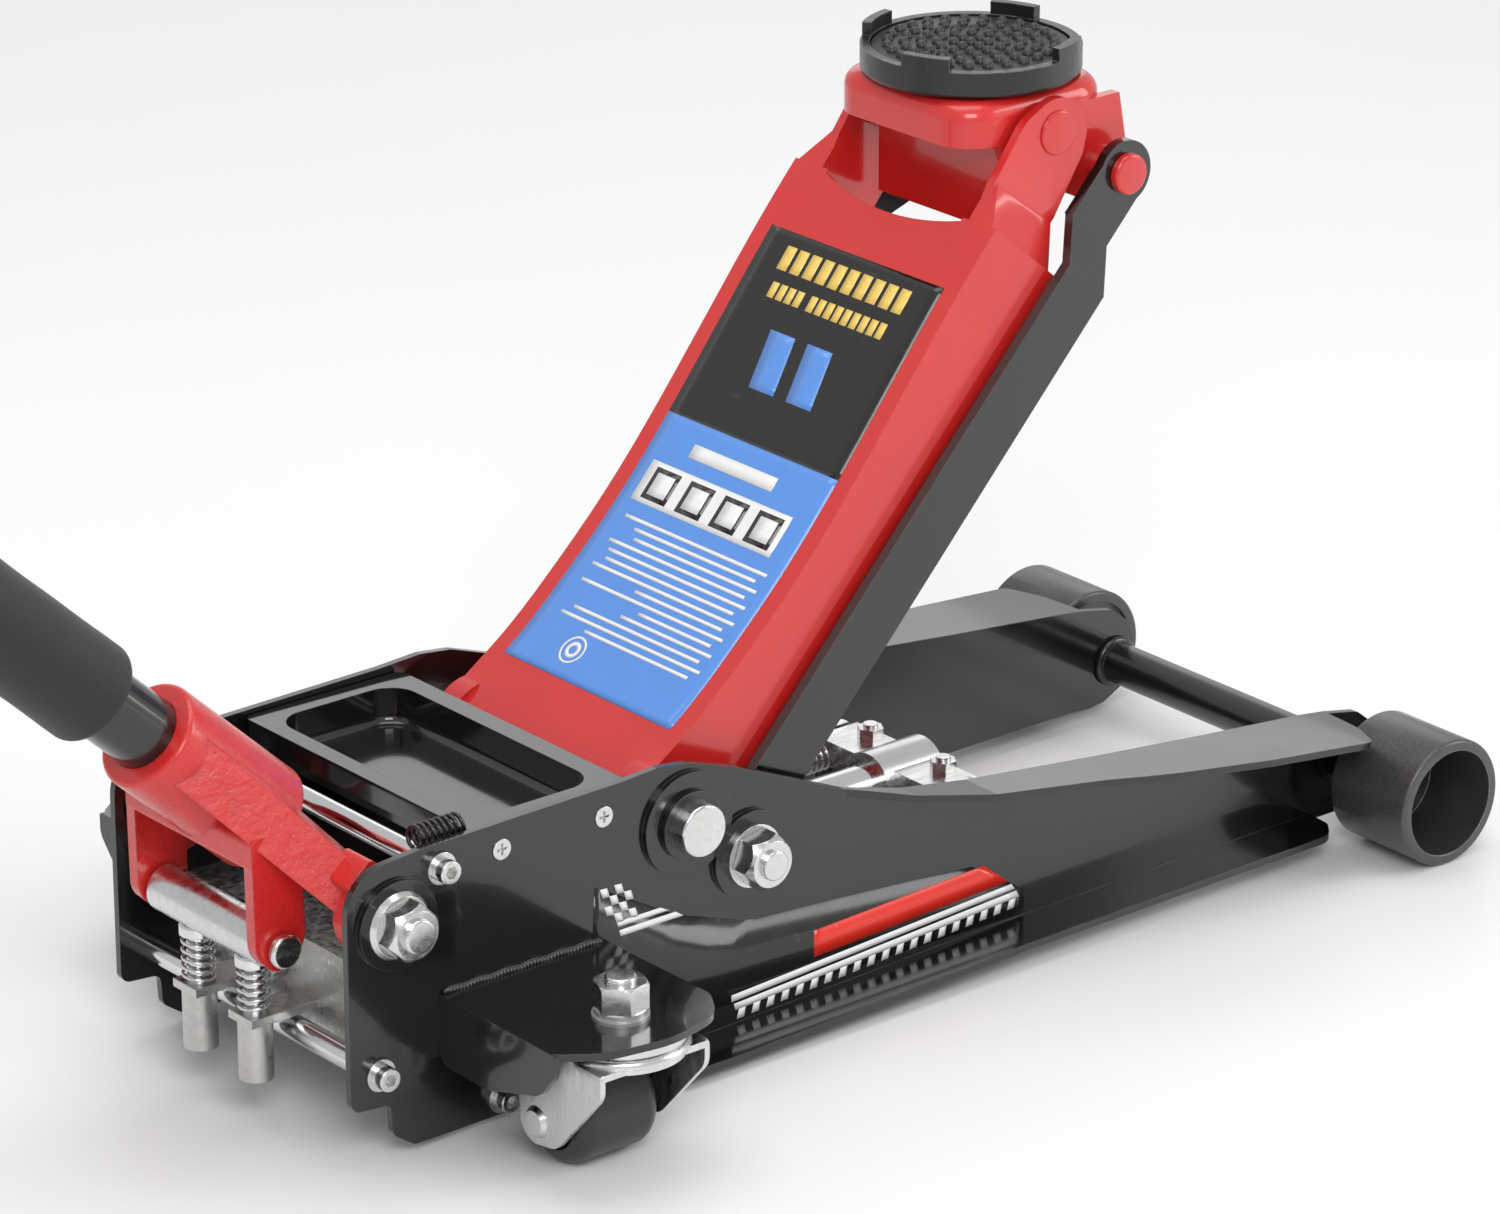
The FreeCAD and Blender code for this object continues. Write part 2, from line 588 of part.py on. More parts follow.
def bracket():
    """Saddle bracket: rounded cap with two side cheeks between the arm's ears."""
    x = SADDLE_X
    plan = [(x - 52, -55, 22), (x + 54, -55, 26), (x + 54, 55, 26), (x - 52, 55, 22)]
    cap = prism_xy(plan, 427, 450)
    cap = soft(cap, 9.5, lambda e: e.BoundBox.ZMin > 449.9)
    plan = [(x - 46, -49, 18), (x + 48, -49, 20), (x + 48, 49, 20), (x - 46, 49, 18)]
    cap = cap.cut(prism_xy(plan, 420, 442))
    cheek = [(x - 34, 440), (x - 22, 412, 12), (LINK_PIN[0] - 18, 388, 10), (LINK_PIN[0] + 2, 382, 14),
             (LINK_PIN[0] + 19, 392, 16), (LINK_PIN[0] + 10, 440)]
    cheek = prism_xz(cheek, -55, -49)
    rear = prism_xz([(x - 20, 442), (x - 20, 376), (x - 16, 376), (x - 16, 442)], -50, 50)
    body = fuse([cap, cheek, mirrored(cheek), rear])
    body = body.fuse(cyl_z(x, 0, 22, 430, 445))
    holes = [cyl_z(x, 0, 12.05, 400, 460)]
    for sy in (-1, 1):
        holes.append(cyl_y(EAR_PIN[0], EAR_PIN[1], 9.05, min(48 * sy, 58 * sy), max(48 * sy, 58 * sy)))
        holes.append(cyl_y(LINK_PIN[0], LINK_PIN[1], 8, min(45 * sy, 58 * sy), max(45 * sy, 58 * sy)))
    return body.cut(Part.makeCompound(holes)).removeSplitter()


def saddle():
    x, z = SADDLE_X, SADDLE_TOP
    cup = cyl_z(x, 0, SADDLE_R, z - 14, z)
    cup = soft(cup, 2.5, lambda e: e.BoundBox.ZMax < z - 13.9)
    cup = cup.cut(cyl_z(x, 0, 53, z - 5, z + 1))
    lugs = []
    for k in range(4):
        a = 24 + 90 * k
        ring = cyl_z(x, 0, SADDLE_R, z - 2, z + 7).cut(cyl_z(x, 0, 53.2, z - 3, z + 8))
        wedge = prism_xy([(x, 0), (x + 90, -22), (x + 90, 22)], z - 2, z + 8)
        wedge.rotate(V(x, 0, 0), V(0, 0, 1), a)
        lug = ring.common(wedge)
        lugs.append(lug)
    stem = cyl_z(x, 0, 12, 422, z - 12)
    body = cup.fuse(lugs + [stem])
    groove = cyl_z(x, 0, 14, 424, 425.6).cut(cyl_z(x, 0, 10.5, 420, 430))
    return body.cut(groove).removeSplitter()


def pad():
    x, z = SADDLE_X, SADDLE_TOP
    body = cyl_z(x, 0, 52.8, z - 5, z - 1)
    studs = [Part.makeSphere(2.6, V(x, 0, z - 1.4))]
    for ring, count in ((9, 6), (18, 12), (27, 16), (36, 20), (45, 24)):
        for k in range(count):
            a = 2 * math.pi * (k + 0.25 * (ring % 2)) / count
            studs.append(Part.makeSphere(2.6, V(x + ring * math.cos(a), ring * math.sin(a), z - 1.4)))
    lower = box(x - 60, x + 60, -60, 60, z - 12, z - 2)
    studs = [s.cut(lower) for s in studs]
    return body.multiFuse(studs)


def saddle_ring():
    x = SADDLE_X
    ring = cyl_z(x, 0, 15, 424.1, 425.5).cut(cyl_z(x, 0, 10.6, 420, 430))
    return ring.cut(box(x - 2, x + 2, 0, 20, 420, 430))


def pin_head(x, z, r, y0, y1):
    head = cyl_y(x, z, r, y0, y1)
    return soft(head, min(1.8, (y1 - y0) * 0.8), lambda e: abs(e.CenterOfMass.y - y0) < 0.01)


def lift_nodes():
    node("lift_arm", lift_arm())
    node("lift_arm_shaft", lift_shaft())
    ear_pin = cyl_y(EAR_PIN[0], EAR_PIN[1], 9, -64, -49.2)
    ear_pin = ear_pin.fuse(pin_head(EAR_PIN[0], EAR_PIN[1], 12, -65.6, -64))
    node("bracket_pins", *both(ear_pin.removeSplitter()))
    pair("parallel_link", link_bar())
    node("link_pivot_bolts", *both(link_bolt()))
    node("pivot_nuts", *both(link_nut()[0], yoke_nut()))
    top = cyl_y(LINK_PIN[0], LINK_PIN[1], 8, -74, -46)
    top = top.fuse([pin_head(LINK_PIN[0], LINK_PIN[1], 11, -77, -72.4),
                    cyl_y(LINK_PIN[0], LINK_PIN[1], 11, -65.6, -55)])
    node("link_top_pins", *both(top.removeSplitter()))
    node("saddle_bracket", bracket())
    node("saddle", saddle())
    node("saddle_pad", pad())
    node("saddle_circlip", saddle_ring())


# ---------------------------------------------------------------- handle yoke and handle
def on_axis(s, n, y):
    dx, dz = HANDLE_DIR
    return V(HANDLE_TOP[0] + dx * s + dz * n, y, HANDLE_TOP[1] + dz * s - dx * n)


def yoke_arm():
    """Tapered arm that runs from the socket out and down to the pivot eye."""
    a = [on_axis(-44, 14, -22), on_axis(-44, -14, -22), on_axis(-98, -14, -22), on_axis(-98, 14, -22)]
    x, z = YOKE_PIVOT
    b = [V(x - 3, -84, z + 21), V(x - 20, -84, z + 3), V(x + 2, -84, z - 16), V(x + 18, -84, z + 2)]
    rows = [Part.makePolygon(a + a[:1]), Part.makePolygon(b + b[:1])]
    loft = Part.makeLoft(rows, True, True)
    return loft


def yoke():
    socket = cyl_along(-125, -36, 28.5)
    socket = soft(socket, 3.0, lambda e: e.CenterOfMass.z > 200)
    x, z = YOKE_PIVOT
    eye = cyl_y(x, z, 22, -95, -80)
    lug = [(-22, 168, 5), (8, 172, 5), (9, 108, 14), (-6, 91, 14), (-21, 106, 14)]
    lug = prism_xz(lug, -54, -47)
    web = prism_xz([(-22, 151, 3), (-22, 168, 5), (8, 172, 5), (8, 151, 3)], -54, 54)
    ridge = prism_xz([(34, 150, 3), (22, 160, 3), (8, 148, 3), (20, 132, 3)], -92, -72)
    parts = [yoke_arm(), eye, lug, ridge]
    body = fuse([socket, web] + parts + [mirrored(p) for p in parts])
    bores = [cyl_along(-121, 0, TUBE_R + 0.05), cyl_along(-130, -110, 12),
             cyl_y(x, z, 9.05, -120, -60), cyl_y(x, z, 9.05, 60, 120),
             cyl_y(x, z, 14, -80, -40), cyl_y(x, z, 14, 40, 80),
             cyl_y(ROLLER[0], ROLLER[1], 6, -80, 80)]
    return body.cut(Part.makeCompound(bores)).removeSplitter()


def yoke_bolt():
    x, z = YOKE_PIVOT
    body = cyl_y(x, z, 9, -123, -79).fuse(cyl_y(x, z, 13, -79.6, -76))
    return soft(body, 1.4, lambda e: abs(e.CenterOfMass.y + 123) < 0.01)


def yoke_nut():
    x, z = YOKE_PIVOT
    nut = hexagon(x, z, 27, -120, -107.6, 14)
    cap = Part.makeCone(12.5, 18, 7, V(x, -120, z), V(0, 1, 0))
    nut = nut.common(cap.fuse(cyl_y(x, z, 18, -113, -107.6)))
    flange = Part.makeCone(16, 18, 3, V(x, -107.6, z), V(0, 1, 0))
    return nut.fuse(flange).cut(cyl_y(x, z, 9, -130, -100)).removeSplitter()


def handle_nodes():
    node("handle_yoke", yoke())
    node("yoke_pivot_bolts", *both(yoke_bolt()))
    x, z = ROLLER
    roller = cyl_y(x, z, 12.5, -45, 45).cut(cyl_y(x, z, 6.05, -50, 50))
    roller = soft(roller, 1.5, lambda e: e.BoundBox.YLength < 0.01 and e.Length > 60)
    node("pump_roller", roller)
    rod = cyl_y(x, z, 6, -58, 58)
    caps = [pin_head(x, z, 9, -60, -56), cyl_y(x, z, 9, 54.2, 57)]
    node("roller_pin", rod.fuse(caps).removeSplitter())
    lower = cyl_along(-120, 430, TUBE_R).cut(cyl_along(-130, 440, 16.5))
    cross = Part.makeCylinder(4.1, 60, handle_point(415, -30), V(0, 1, 0))
    node("handle_lower_tube", lower.cut(cross))
    foam = cyl_along(4, 330, FOAM_R).cut(cyl_along(0, 335, TUBE_R))
    foam = soft(foam, 4, lambda e: e.Length > 150)
    node("handle_foam_sleeve", foam)
    upper = cyl_along(380, 1000, 16.45).cut(cyl_along(370, 1010, 14)).cut(cross)
    node("handle_upper_tube", upper)
    bolt = Part.makeCylinder(4, 50, handle_point(415, -25), V(0, 1, 0))
    knob = Part.makeCylinder(8, 8, handle_point(415, -33), V(0, 1, 0))
    nut = Part.makeCylinder(6.5, 5, handle_point(415, 20), V(0, 1, 0))
    node("handle_lock_bolt", bolt.fuse([knob, nut]).removeSplitter())
    grip = cyl_along(878, 1016, 20.5)
    ribs = [cyl_along(886 + 12 * k, 890 + 12 * k, 22) for k in range(10)]
    grip = fuse([grip] + ribs)
    node("handle_grip", grip.cut(cyl_along(870, 1000, 16.45)).removeSplitter())


def handle_point(s, y):
    dx, dz = HANDLE_DIR
    return V(HANDLE_TOP[0] + dx * s, y, HANDLE_TOP[1] + dz * s)


# ---------------------------------------------------------------- hydraulic unit
def pump_block():
    main = box(30, 74, -60, 60, 34, 92)
    main = soft(main, 5, lambda e: e.BoundBox.XLength > 40)
    shelf = [box(-11, 34, s * PLUNGER_Y - 10, s * PLUNGER_Y + 10, 57.5, 62) for s in (-1, 1)]
    pads = box(40, 66, -97.4, 97.4, 62, 84)
    barrels = [cyl_z(PLUNGER_X, s * PLUNGER_Y, 9, 26, 62) for s in (-1, 1)]
    body = fuse([main, pads] + shelf + barrels)
    bores = [cyl_z(PLUNGER_X, s * PLUNGER_Y, 6.05, 28, 70) for s in (-1, 1)]
    bores.append(cyl_x(0, 71, 6.05, 20, 50))
    return body.cut(Part.makeCompound(bores)).removeSplitter()


def hydraulic_nodes():
    node("pump_block", pump_block())
    tube = cyl_x(0, RAM_Z, CYL_R, 74, 338)
    rings = [cyl_x(0, RAM_Z, CYL_R + 2.5, 74, 84), cyl_x(0, RAM_Z, CYL_R + 2.5, 326, 338)]
    tube = fuse([tube] + rings).cut(cyl_x(0, RAM_Z, 13.05, 136, 340))
    port = cyl_z(118, 0, 7, 80, 100)
    node("ram_cylinder", tube.cut(port).removeSplitter())
    plug = cyl_z(118, 0, 7, 82, 92).fuse(hexagon_z(118, 0, 17, 92.6, 98))
    plug = plug.fuse(cyl_z(118, 0, 9, 92.0, 93))
    node("filler_plug", plug.cut(cyl_z(118, 0, 3, 95, 100)).removeSplitter())
    gland = cyl_x(0, RAM_Z, 24, 338, 350).cut(cyl_x(0, RAM_Z, 13.05, 330, 360))
    for k in range(6):
        a = math.radians(60 * k + 30)
        notch = cyl_x(24 * math.cos(a), RAM_Z + 24 * math.sin(a), 3.5, 343, 351)
        gland = gland.cut(notch)
    node("gland_nut", gland)
    rod = cyl_x(0, RAM_Z, 13, 205, 432)
    node("ram_rod", soft(rod, 1.5, lambda e: e.CenterOfMass.x < 206))
    block = box(424, 454, -50.5, 50.5, 50, 74).fuse(cyl_x(0, RAM_Z, 19, 418, 458))
    block = soft(block, 2.5, lambda e: e.BoundBox.YLength > 90)
    bores = [cyl_x(0, RAM_Z, 13, 410, 432), cyl_y(439, 66, 7, -60, 60), cyl_z(446, 30, 4, 60, 80)]
    bores.append(cyl_z(446, -30, 4, 60, 80))
    node("crosshead", block.cut(Part.makeCompound(bores)).removeSplitter())
    pin = cyl_y(439, 66, 7, -64, -36).fuse(pin_head(439, 66, 10, -66.5, -62.5))
    post = cyl_z(446, -30, 4, 61, 82).fuse(hexagon_z(446, -30, 13, 74, 80)).removeSplitter()
    node("crosshead_pins", *both(pin.removeSplitter(), post))
    link = [(222, 60, 12), (252, 60, 14), (300, 61), (430, 54, 6), (452, 54, 11), (452, 78, 11),
            (430, 78, 6), (300, 80), (252, 90, 14), (222, 90, 12)]
    link = prism_xz(link, -61, -52)
    slot = prism_xz([(229.2, 61.6, 7.9), (245.2, 61.6, 7.9), (245.2, 86.4, 7.9), (229.2, 86.4, 7.9)], -70, -40)
    slot = slot.fuse(cyl_y(439, 66, 7, -70, -40))
    node("drag_links", *both(link.cut(slot)))
    springs = [coil(7.0, 1.2, 148, 36, V(273, y, 66), V(1, 0, 0)) for y in (-41.5, 41.5)]
    node("return_springs", *springs)
    body = cyl_z(PLUNGER_X, -PLUNGER_Y, 6, 44.5, 90).fuse(cyl_z(PLUNGER_X, -PLUNGER_Y, 9.5, 88, 93.8))
    body = soft(body, 1.5, lambda e: e.BoundBox.ZMin > 93.7).removeSplitter()
    node("pump_plungers", *both(body))
    spring = coil(7.9, 0.9, 23.0, 5, V(PLUNGER_X, -PLUNGER_Y, 63.2), V(0, 0, 1))
    node("plunger_springs", *both(spring))
    spindle = cyl_x(0, 71, 6, 24, 44).fuse(cyl_x(0, 71, 8, 21, 29.4))
    spindle = spindle.cut(box(18, 26, -2.2, 2.2, 60, 82))
    node("release_valve", spindle.removeSplitter())
    hooks = [cyl_x(-88, 157.3, 1.1, 77.5, 80), cyl_z(57.5, -88, 1.1, 155.0, 157.3)]
    node("handle_spring", coil(5.2, 1.1, 28, 8, V(50.5, -88, 162.5), V(1, 0, 0)).multiFuse(hooks))


def main():
    os.makedirs("parts", exist_ok=True)
    frame_nodes()
    pair("front_wheel", front_wheel())
    caster_nodes()
    lift_nodes()
    handle_nodes()
    hydraulic_nodes()
    for name, shapes in NODES.items():
        solids = []
        for shape in shapes:
            solids += shape.Solids if shape.ShapeType != "Solid" else [shape]
        for s in solids:
            if not s.isValid() or s.Volume <= 0:
                print("check", name, s.isValid(), round(s.Volume, 1))
        shape = solids[0] if len(solids) == 1 else Part.makeCompound(solids)
        shape = shape.copy()
        shape.translate(V(SHIFT, 0, 0))
        shape.exportStep("parts/" + name + ".step")
        print(name, len(solids), round(shape.Volume))


main()
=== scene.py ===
"""Looks of a hydraulic floor jack: materials, soft parts, labels, weld beads and a plain studio.

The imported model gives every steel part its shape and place. This file adds what a maker puts on
last: paint, plating, rubber, foam, printed film and weld seams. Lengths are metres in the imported
model's frame. Drawing lengths are millimetres from the rear edge of the side plates.
"""

import bmesh
import bpy
import math
import numpy as np
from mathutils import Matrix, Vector


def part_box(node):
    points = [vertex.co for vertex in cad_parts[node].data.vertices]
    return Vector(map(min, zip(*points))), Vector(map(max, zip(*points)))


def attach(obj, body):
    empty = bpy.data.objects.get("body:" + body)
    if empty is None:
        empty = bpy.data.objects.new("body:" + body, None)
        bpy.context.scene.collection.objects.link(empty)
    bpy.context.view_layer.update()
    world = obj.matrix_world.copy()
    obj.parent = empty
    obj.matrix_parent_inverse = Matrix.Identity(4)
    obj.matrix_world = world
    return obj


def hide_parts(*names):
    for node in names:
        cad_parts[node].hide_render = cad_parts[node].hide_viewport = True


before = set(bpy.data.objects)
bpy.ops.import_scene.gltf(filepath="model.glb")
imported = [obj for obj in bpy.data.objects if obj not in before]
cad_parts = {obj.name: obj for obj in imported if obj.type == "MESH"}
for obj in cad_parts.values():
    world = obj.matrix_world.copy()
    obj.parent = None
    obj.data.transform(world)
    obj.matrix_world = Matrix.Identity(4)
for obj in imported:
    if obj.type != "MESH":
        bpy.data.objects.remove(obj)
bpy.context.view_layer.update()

bl_info = {
    "name": "Hydraulic Floor Jack",
    "version": (1, 0, 0),
    "blender": (4, 5, 0),
    "location": "View3D > Sidebar > Floor Jack",
    "description": "Finishes, soft parts, labels and studio for the packed floor jack",
    "category": "Add Mesh",
}

MM = 0.001
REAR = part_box("right_side_plate")[0].x
HANDLE_FOOT = (-71.0, 239.0)
HANDLE_TILT = math.radians(43.18)
ARM_LINE = ((196, 146), (214, 158), (238, 175), (267, 200),
            (302, 234), (337, 274), (372, 318), (434, 393))
AXLE = (688.0, 36.0)
WEB_FACE = 101.5
SADDLE_X = 486.0
PAD_TOP = 464.0
TUBE_BORE = 0.0192
FILM_BODY = 0.00006
SIDES = ((-1, "right"), (1, "left"))


def place(x, y, z):
    """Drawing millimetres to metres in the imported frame; works on numbers and arrays."""
    x, y, z = np.broadcast_arrays(np.asarray(x, float), y, z)
    return np.stack([x * MM + REAR, y * MM, z * MM], axis=-1)


# ------------------------------------------------------------------ surfaces
def build(name, points, faces, smooth=True):
    """Mesh object from an array of points and an array of equal-sided faces."""
    faces = np.asarray(faces, np.int32)
    count, sides = faces.shape
    mesh = bpy.data.meshes.new(name)
    mesh.vertices.add(len(points))
    mesh.vertices.foreach_set("co", np.asarray(points, np.float32).ravel())
    mesh.loops.add(count * sides)
    mesh.loops.foreach_set("vertex_index", faces.ravel())
    mesh.polygons.add(count)
    mesh.polygons.foreach_set("loop_start", np.arange(count, dtype=np.int32) * sides)
    mesh.polygons.foreach_set("use_smooth", np.full(count, smooth))
    mesh.update(calc_edges=True)
    mesh.validate()
    piece = bpy.data.objects.new(name, mesh)
    bpy.context.scene.collection.objects.link(piece)
    return piece


def grid_faces(nu, nv, wrap_u=False, wrap_v=False):
    """Quads of a grid of nu by nv points, point (i, j) stored at i * nv + j."""
    i = np.arange(nu if wrap_u else nu - 1)
    j = np.arange(nv if wrap_v else nv - 1)
    i, j = (a.ravel() for a in np.meshgrid(i, j, indexing="ij"))
    k, m = (i + 1) % nu, (j + 1) % nv
    return np.stack([i * nv + j, k * nv + j, k * nv + m, i * nv + m], axis=1)


def tidy_shell(piece, gap=1e-7):
    """Merges doubled points at poles and seams and turns every face outward."""
    bm = bmesh.new()
    bm.from_mesh(piece.data)
    bmesh.ops.remove_doubles(bm, verts=bm.verts, dist=gap)
    bmesh.ops.recalc_face_normals(bm, faces=bm.faces)
    bm.to_mesh(piece.data)
    bm.free()
    return piece


def lathe(name, profile, origin, axis, sides=96, closed=False):
    """Turned shape: point (along, radius) of the profile at angle t is
    origin + along * axis + radius * (cos t * u + sin t * v), with u and v square to the axis."""
    profile = np.asarray(profile, float)
    axis = np.asarray(axis, float) / np.linalg.norm(axis)
    side = np.array([0.0, 1.0, 0.0]) if abs(axis[1]) < 0.9 else np.array([1.0, 0.0, 0.0])
    u = np.cross(axis, side)
    u /= np.linalg.norm(u)
    v = np.cross(axis, u)
    t = np.linspace(0, 2 * np.pi, sides, endpoint=False)
    ring = np.cos(t)[:, None] * u + np.sin(t)[:, None] * v
    points = profile[:, None, 0:1] * axis + profile[:, None, 1:2] * ring[None]
    points = np.asarray(origin, float) + points
    faces = grid_faces(len(profile), sides, closed, True)
    return tidy_shell(build(name, points.reshape(-1, 3), faces))


def path_frames(path, closed=False):
    """Unit side and up vectors at each point of a path, side kept close to square with Z."""
    ahead = np.roll(path, -1, axis=0) - np.roll(path, 1, axis=0)
    if not closed:
        ahead[0] = path[1] - path[0]
        ahead[-1] = path[-1] - path[-2]
    tangent = ahead / np.linalg.norm(ahead, axis=1)[:, None]
    guide = np.where(np.abs(tangent[:, 2:3]) > 0.9, [[0.0, 1.0, 0.0]], [[0.0, 0.0, 1.0]])
    side = np.cross(tangent, guide)
    side /= np.linalg.norm(side, axis=1)[:, None]
    return side, np.cross(side, tangent)


def bead(name, path, radius, pitch, closed=False):
    """Weld bead: a round tube along the path whose radius swells once per pitch like laid ripples,
    r = radius * (1 + 0.13 * |sin(pi * s / pitch)|), closing to a point at open ends."""
    side, up = path_frames(path, closed)
    step = np.linalg.norm(np.diff(path, axis=0), axis=1)
    s = np.concatenate([[0.0], np.cumsum(step)])
    r = radius * (1 + 0.13 * np.abs(np.sin(np.pi * s / pitch)))
    if not closed:
        to_end = np.minimum(s, s[-1] - s) / (1.5 * radius)
        r = r * np.sqrt(np.clip(1 - (1 - np.minimum(to_end, 1)) ** 2, 0, 1))
    sides = 12
    t = np.linspace(0, 2 * np.pi, sides, endpoint=False)
    ring = np.cos(t)[None, :, None] * side[:, None] + np.sin(t)[None, :, None] * up[:, None]
    points = path[:, None] + r[:, None, None] * ring
    faces = grid_faces(len(path), sides, closed, True)
    return tidy_shell(build(name, points.reshape(-1, 3), faces))


def join(name, pieces):
    """One triangulated piece from several, keeping their meshes where they are."""
    points, faces, base = [], [], 0
    for piece in pieces:
        count = len(piece.data.vertices)
        co = np.zeros(count * 3, np.float32)
        piece.data.vertices.foreach_get("co", co)
        points.append(co.reshape(-1, 3))
        piece.data.calc_loop_triangles()
        tri = np.zeros(len(piece.data.loop_triangles) * 3, np.int32)
        piece.data.loop_triangles.foreach_get("vertices", tri)
        faces.append(tri.reshape(-1, 3) + base)
        base += count
        bpy.data.objects.remove(piece)
    return build(name, np.concatenate(points), np.concatenate(faces))


# ------------------------------------------------------------------ materials
class Finish:
    """One material and short ways to add nodes to it."""

    def __init__(self, name):
        self.mat = bpy.data.materials.new(name)
        self.mat.use_nodes = True
        self.tree = self.mat.node_tree
        self.shader = self.tree.nodes["Principled BSDF"]
        self.coords = self.add("TexCoord").outputs["Object"]

    def add(self, kind, values=None, **settings):
        node = self.tree.nodes.new("ShaderNode" + kind)
        for key, value in settings.items():
            setattr(node, key, value)
        for key, value in (values or {}).items():
            if isinstance(value, bpy.types.NodeSocket):
                self.tree.links.new(value, node.inputs[key])
            else:
                node.inputs[key].default_value = value
        return node

    def set(self, **values):
        for key, value in values.items():
            socket = self.shader.inputs[key.replace("_", " ")]
            if isinstance(value, bpy.types.NodeSocket):
                self.tree.links.new(value, socket)
            else:
                socket.default_value = value
        return self

    def noise(self, scale, detail=2.0, rough=0.5, where=None):
        values = {"Vector": where or self.coords, "Scale": scale}
        values.update({"Detail": detail, "Roughness": rough})
        return self.add("TexNoise", values).outputs["Fac"]

    def stretched(self, scale, turn=(0, 0, 0)):
        values = {"Vector": self.coords, "Scale": scale, "Rotation": turn}
        return self.add("Mapping", values).outputs["Vector"]

    def cells(self, scale, feature="F1"):
        values = {"Vector": self.coords, "Scale": scale}
        return self.add("TexVoronoi", values, feature=feature).outputs["Distance"]

    def span(self, value, low, high, out_low, out_high, smooth=False):
        kind = "SMOOTHSTEP" if smooth else "LINEAR"
        values = {"Value": value, 1: low, 2: high, 3: out_low, 4: out_high}
        return self.add("MapRange", values, interpolation_type=kind).outputs["Result"]

    def math(self, operation, a, b=0.0):
        return self.add("Math", {0: a, 1: b}, operation=operation).outputs[0]

    def mix(self, fac, a, b):
        return self.add("Mix", {0: fac, 6: a, 7: b}, data_type="RGBA").outputs[2]

    def bump(self, height, depth, strength=1.0, under=None):
        """Adds a height field, depth in metres, over the normal given in under."""
        values = {"Height": height, "Distance": depth, "Strength": strength}
        if under is not None:
            values["Normal"] = under
        return self.add("Bump", values).outputs["Normal"]

    def rounded(self, radius):
        return self.add("Bevel", {"Radius": radius}, samples=4).outputs["Normal"]

    def wear_and_highlight_edges(self, radius, low=0.02, high=0.14):
        """0 on flats, 1 on sharp edges, from how far the rounded normal leans away."""
        plain = self.add("NewGeometry").outputs["Normal"]
        soft = self.add("Bevel", {"Radius": radius}, samples=4).outputs["Normal"]
        lean = self.add("VectorMath", {0: plain, 1: soft}, operation="DOT_PRODUCT").outputs["Value"]
        return self.span(self.math("SUBTRACT", 1.0, lean), low, high, 0.0, 1.0)


def rgba(colour, k=1.0):
    return (colour[0] * k, colour[1] * k, colour[2] * k, 1.0)


def gloss_paint(name, colour, rough=0.16, peel=1.0, edge_wear_and_highlight=0.35, edge=(0.30, 0.30, 0.31)):
    """Sprayed enamel: orange peel, faint cloudy gloss, dust nibs, rubbed edges with painted
    highlight.
    """
    f = Finish(name)
    peel_field = f.noise(520, 2.5, 0.55)
    cloud = f.noise(11, 3, 0.6)
    nibs = f.span(f.cells(260), 0.0, 0.11, 1.0, 0.0, True)
    rub = f.noise(46, 6, 0.65, f.stretched((1.0, 0.35, 1.0)))
    fine = f.noise(2400, 1.0)
    tint = f.mix(cloud, rgba(colour, 0.86), rgba(colour, 1.12))
    # edges lightened towards the edge colour: partly rub wear, partly painted edge highlight
    edges = f.math("MULTIPLY", f.wear_and_highlight_edges(0.0009), f.span(rub, 0.45, 0.72, 0.0, edge_wear_and_highlight))
    tint = f.mix(edges, tint, rgba(edge))
    haze = f.span(cloud, 0.3, 0.7, rough * 0.75, rough * 1.35)
    haze = f.math("ADD", haze, f.span(rub, 0.60, 0.78, 0.0, 0.10, True))
    haze = f.math("ADD", haze, f.math("MULTIPLY", edges, 0.3))
    normal = f.bump(peel_field, 0.00006 * peel, 0.35, f.rounded(0.0007))
    normal = f.bump(nibs, 0.00005, 0.25, normal)
    normal = f.bump(fine, 0.000008, 0.2, normal)
    f.set(Base_Color=tint, Roughness=haze, Normal=normal, Specular_IOR_Level=0.5)
    f.set(Coat_Weight=0.55, Coat_Roughness=0.05, Coat_IOR=1.5)
    return f.mat


def cast_paint(name, colour):
    """Enamel over rough sand casting: lumpy skin with painted shade in its hollows, pits, flaked
    high spots with painted highlight.
    """
    f = Finish(name)
    lumps = f.noise(95, 5, 0.62)
    grain = f.noise(420, 4, 0.6)
    pits = f.span(f.cells(210), 0.02, 0.22, 0.0, 1.0, True)
    cloud = f.noise(16, 3)
    tint = f.mix(cloud, rgba(colour, 0.78), rgba(colour, 1.15))
    # painted shade: the hollows of the lumpy skin are darkened
    tint = f.mix(f.span(lumps, 0.25, 0.45, 0.35, 0.0), tint, rgba(colour, 0.4))
    # edges lightened: partly flaked paint, partly painted edge highlight
    edges = f.math("MULTIPLY", f.wear_and_highlight_edges(0.0012), f.span(grain, 0.5, 0.7, 0.0, 0.5))
    tint = f.mix(edges, tint, (0.32, 0.30, 0.29, 1.0))
    normal = f.bump(lumps, 0.0011, 0.55, f.rounded(0.0012))
    normal = f.bump(grain, 0.00022, 0.45, normal)
    normal = f.bump(pits, 0.0003, 0.25, normal)
    f.set(Base_Color=tint, Roughness=f.span(grain, 0.3, 0.7, 0.20, 0.42), Normal=normal)
    f.set(Coat_Weight=0.4, Coat_Roughness=0.12)
    return f.mat


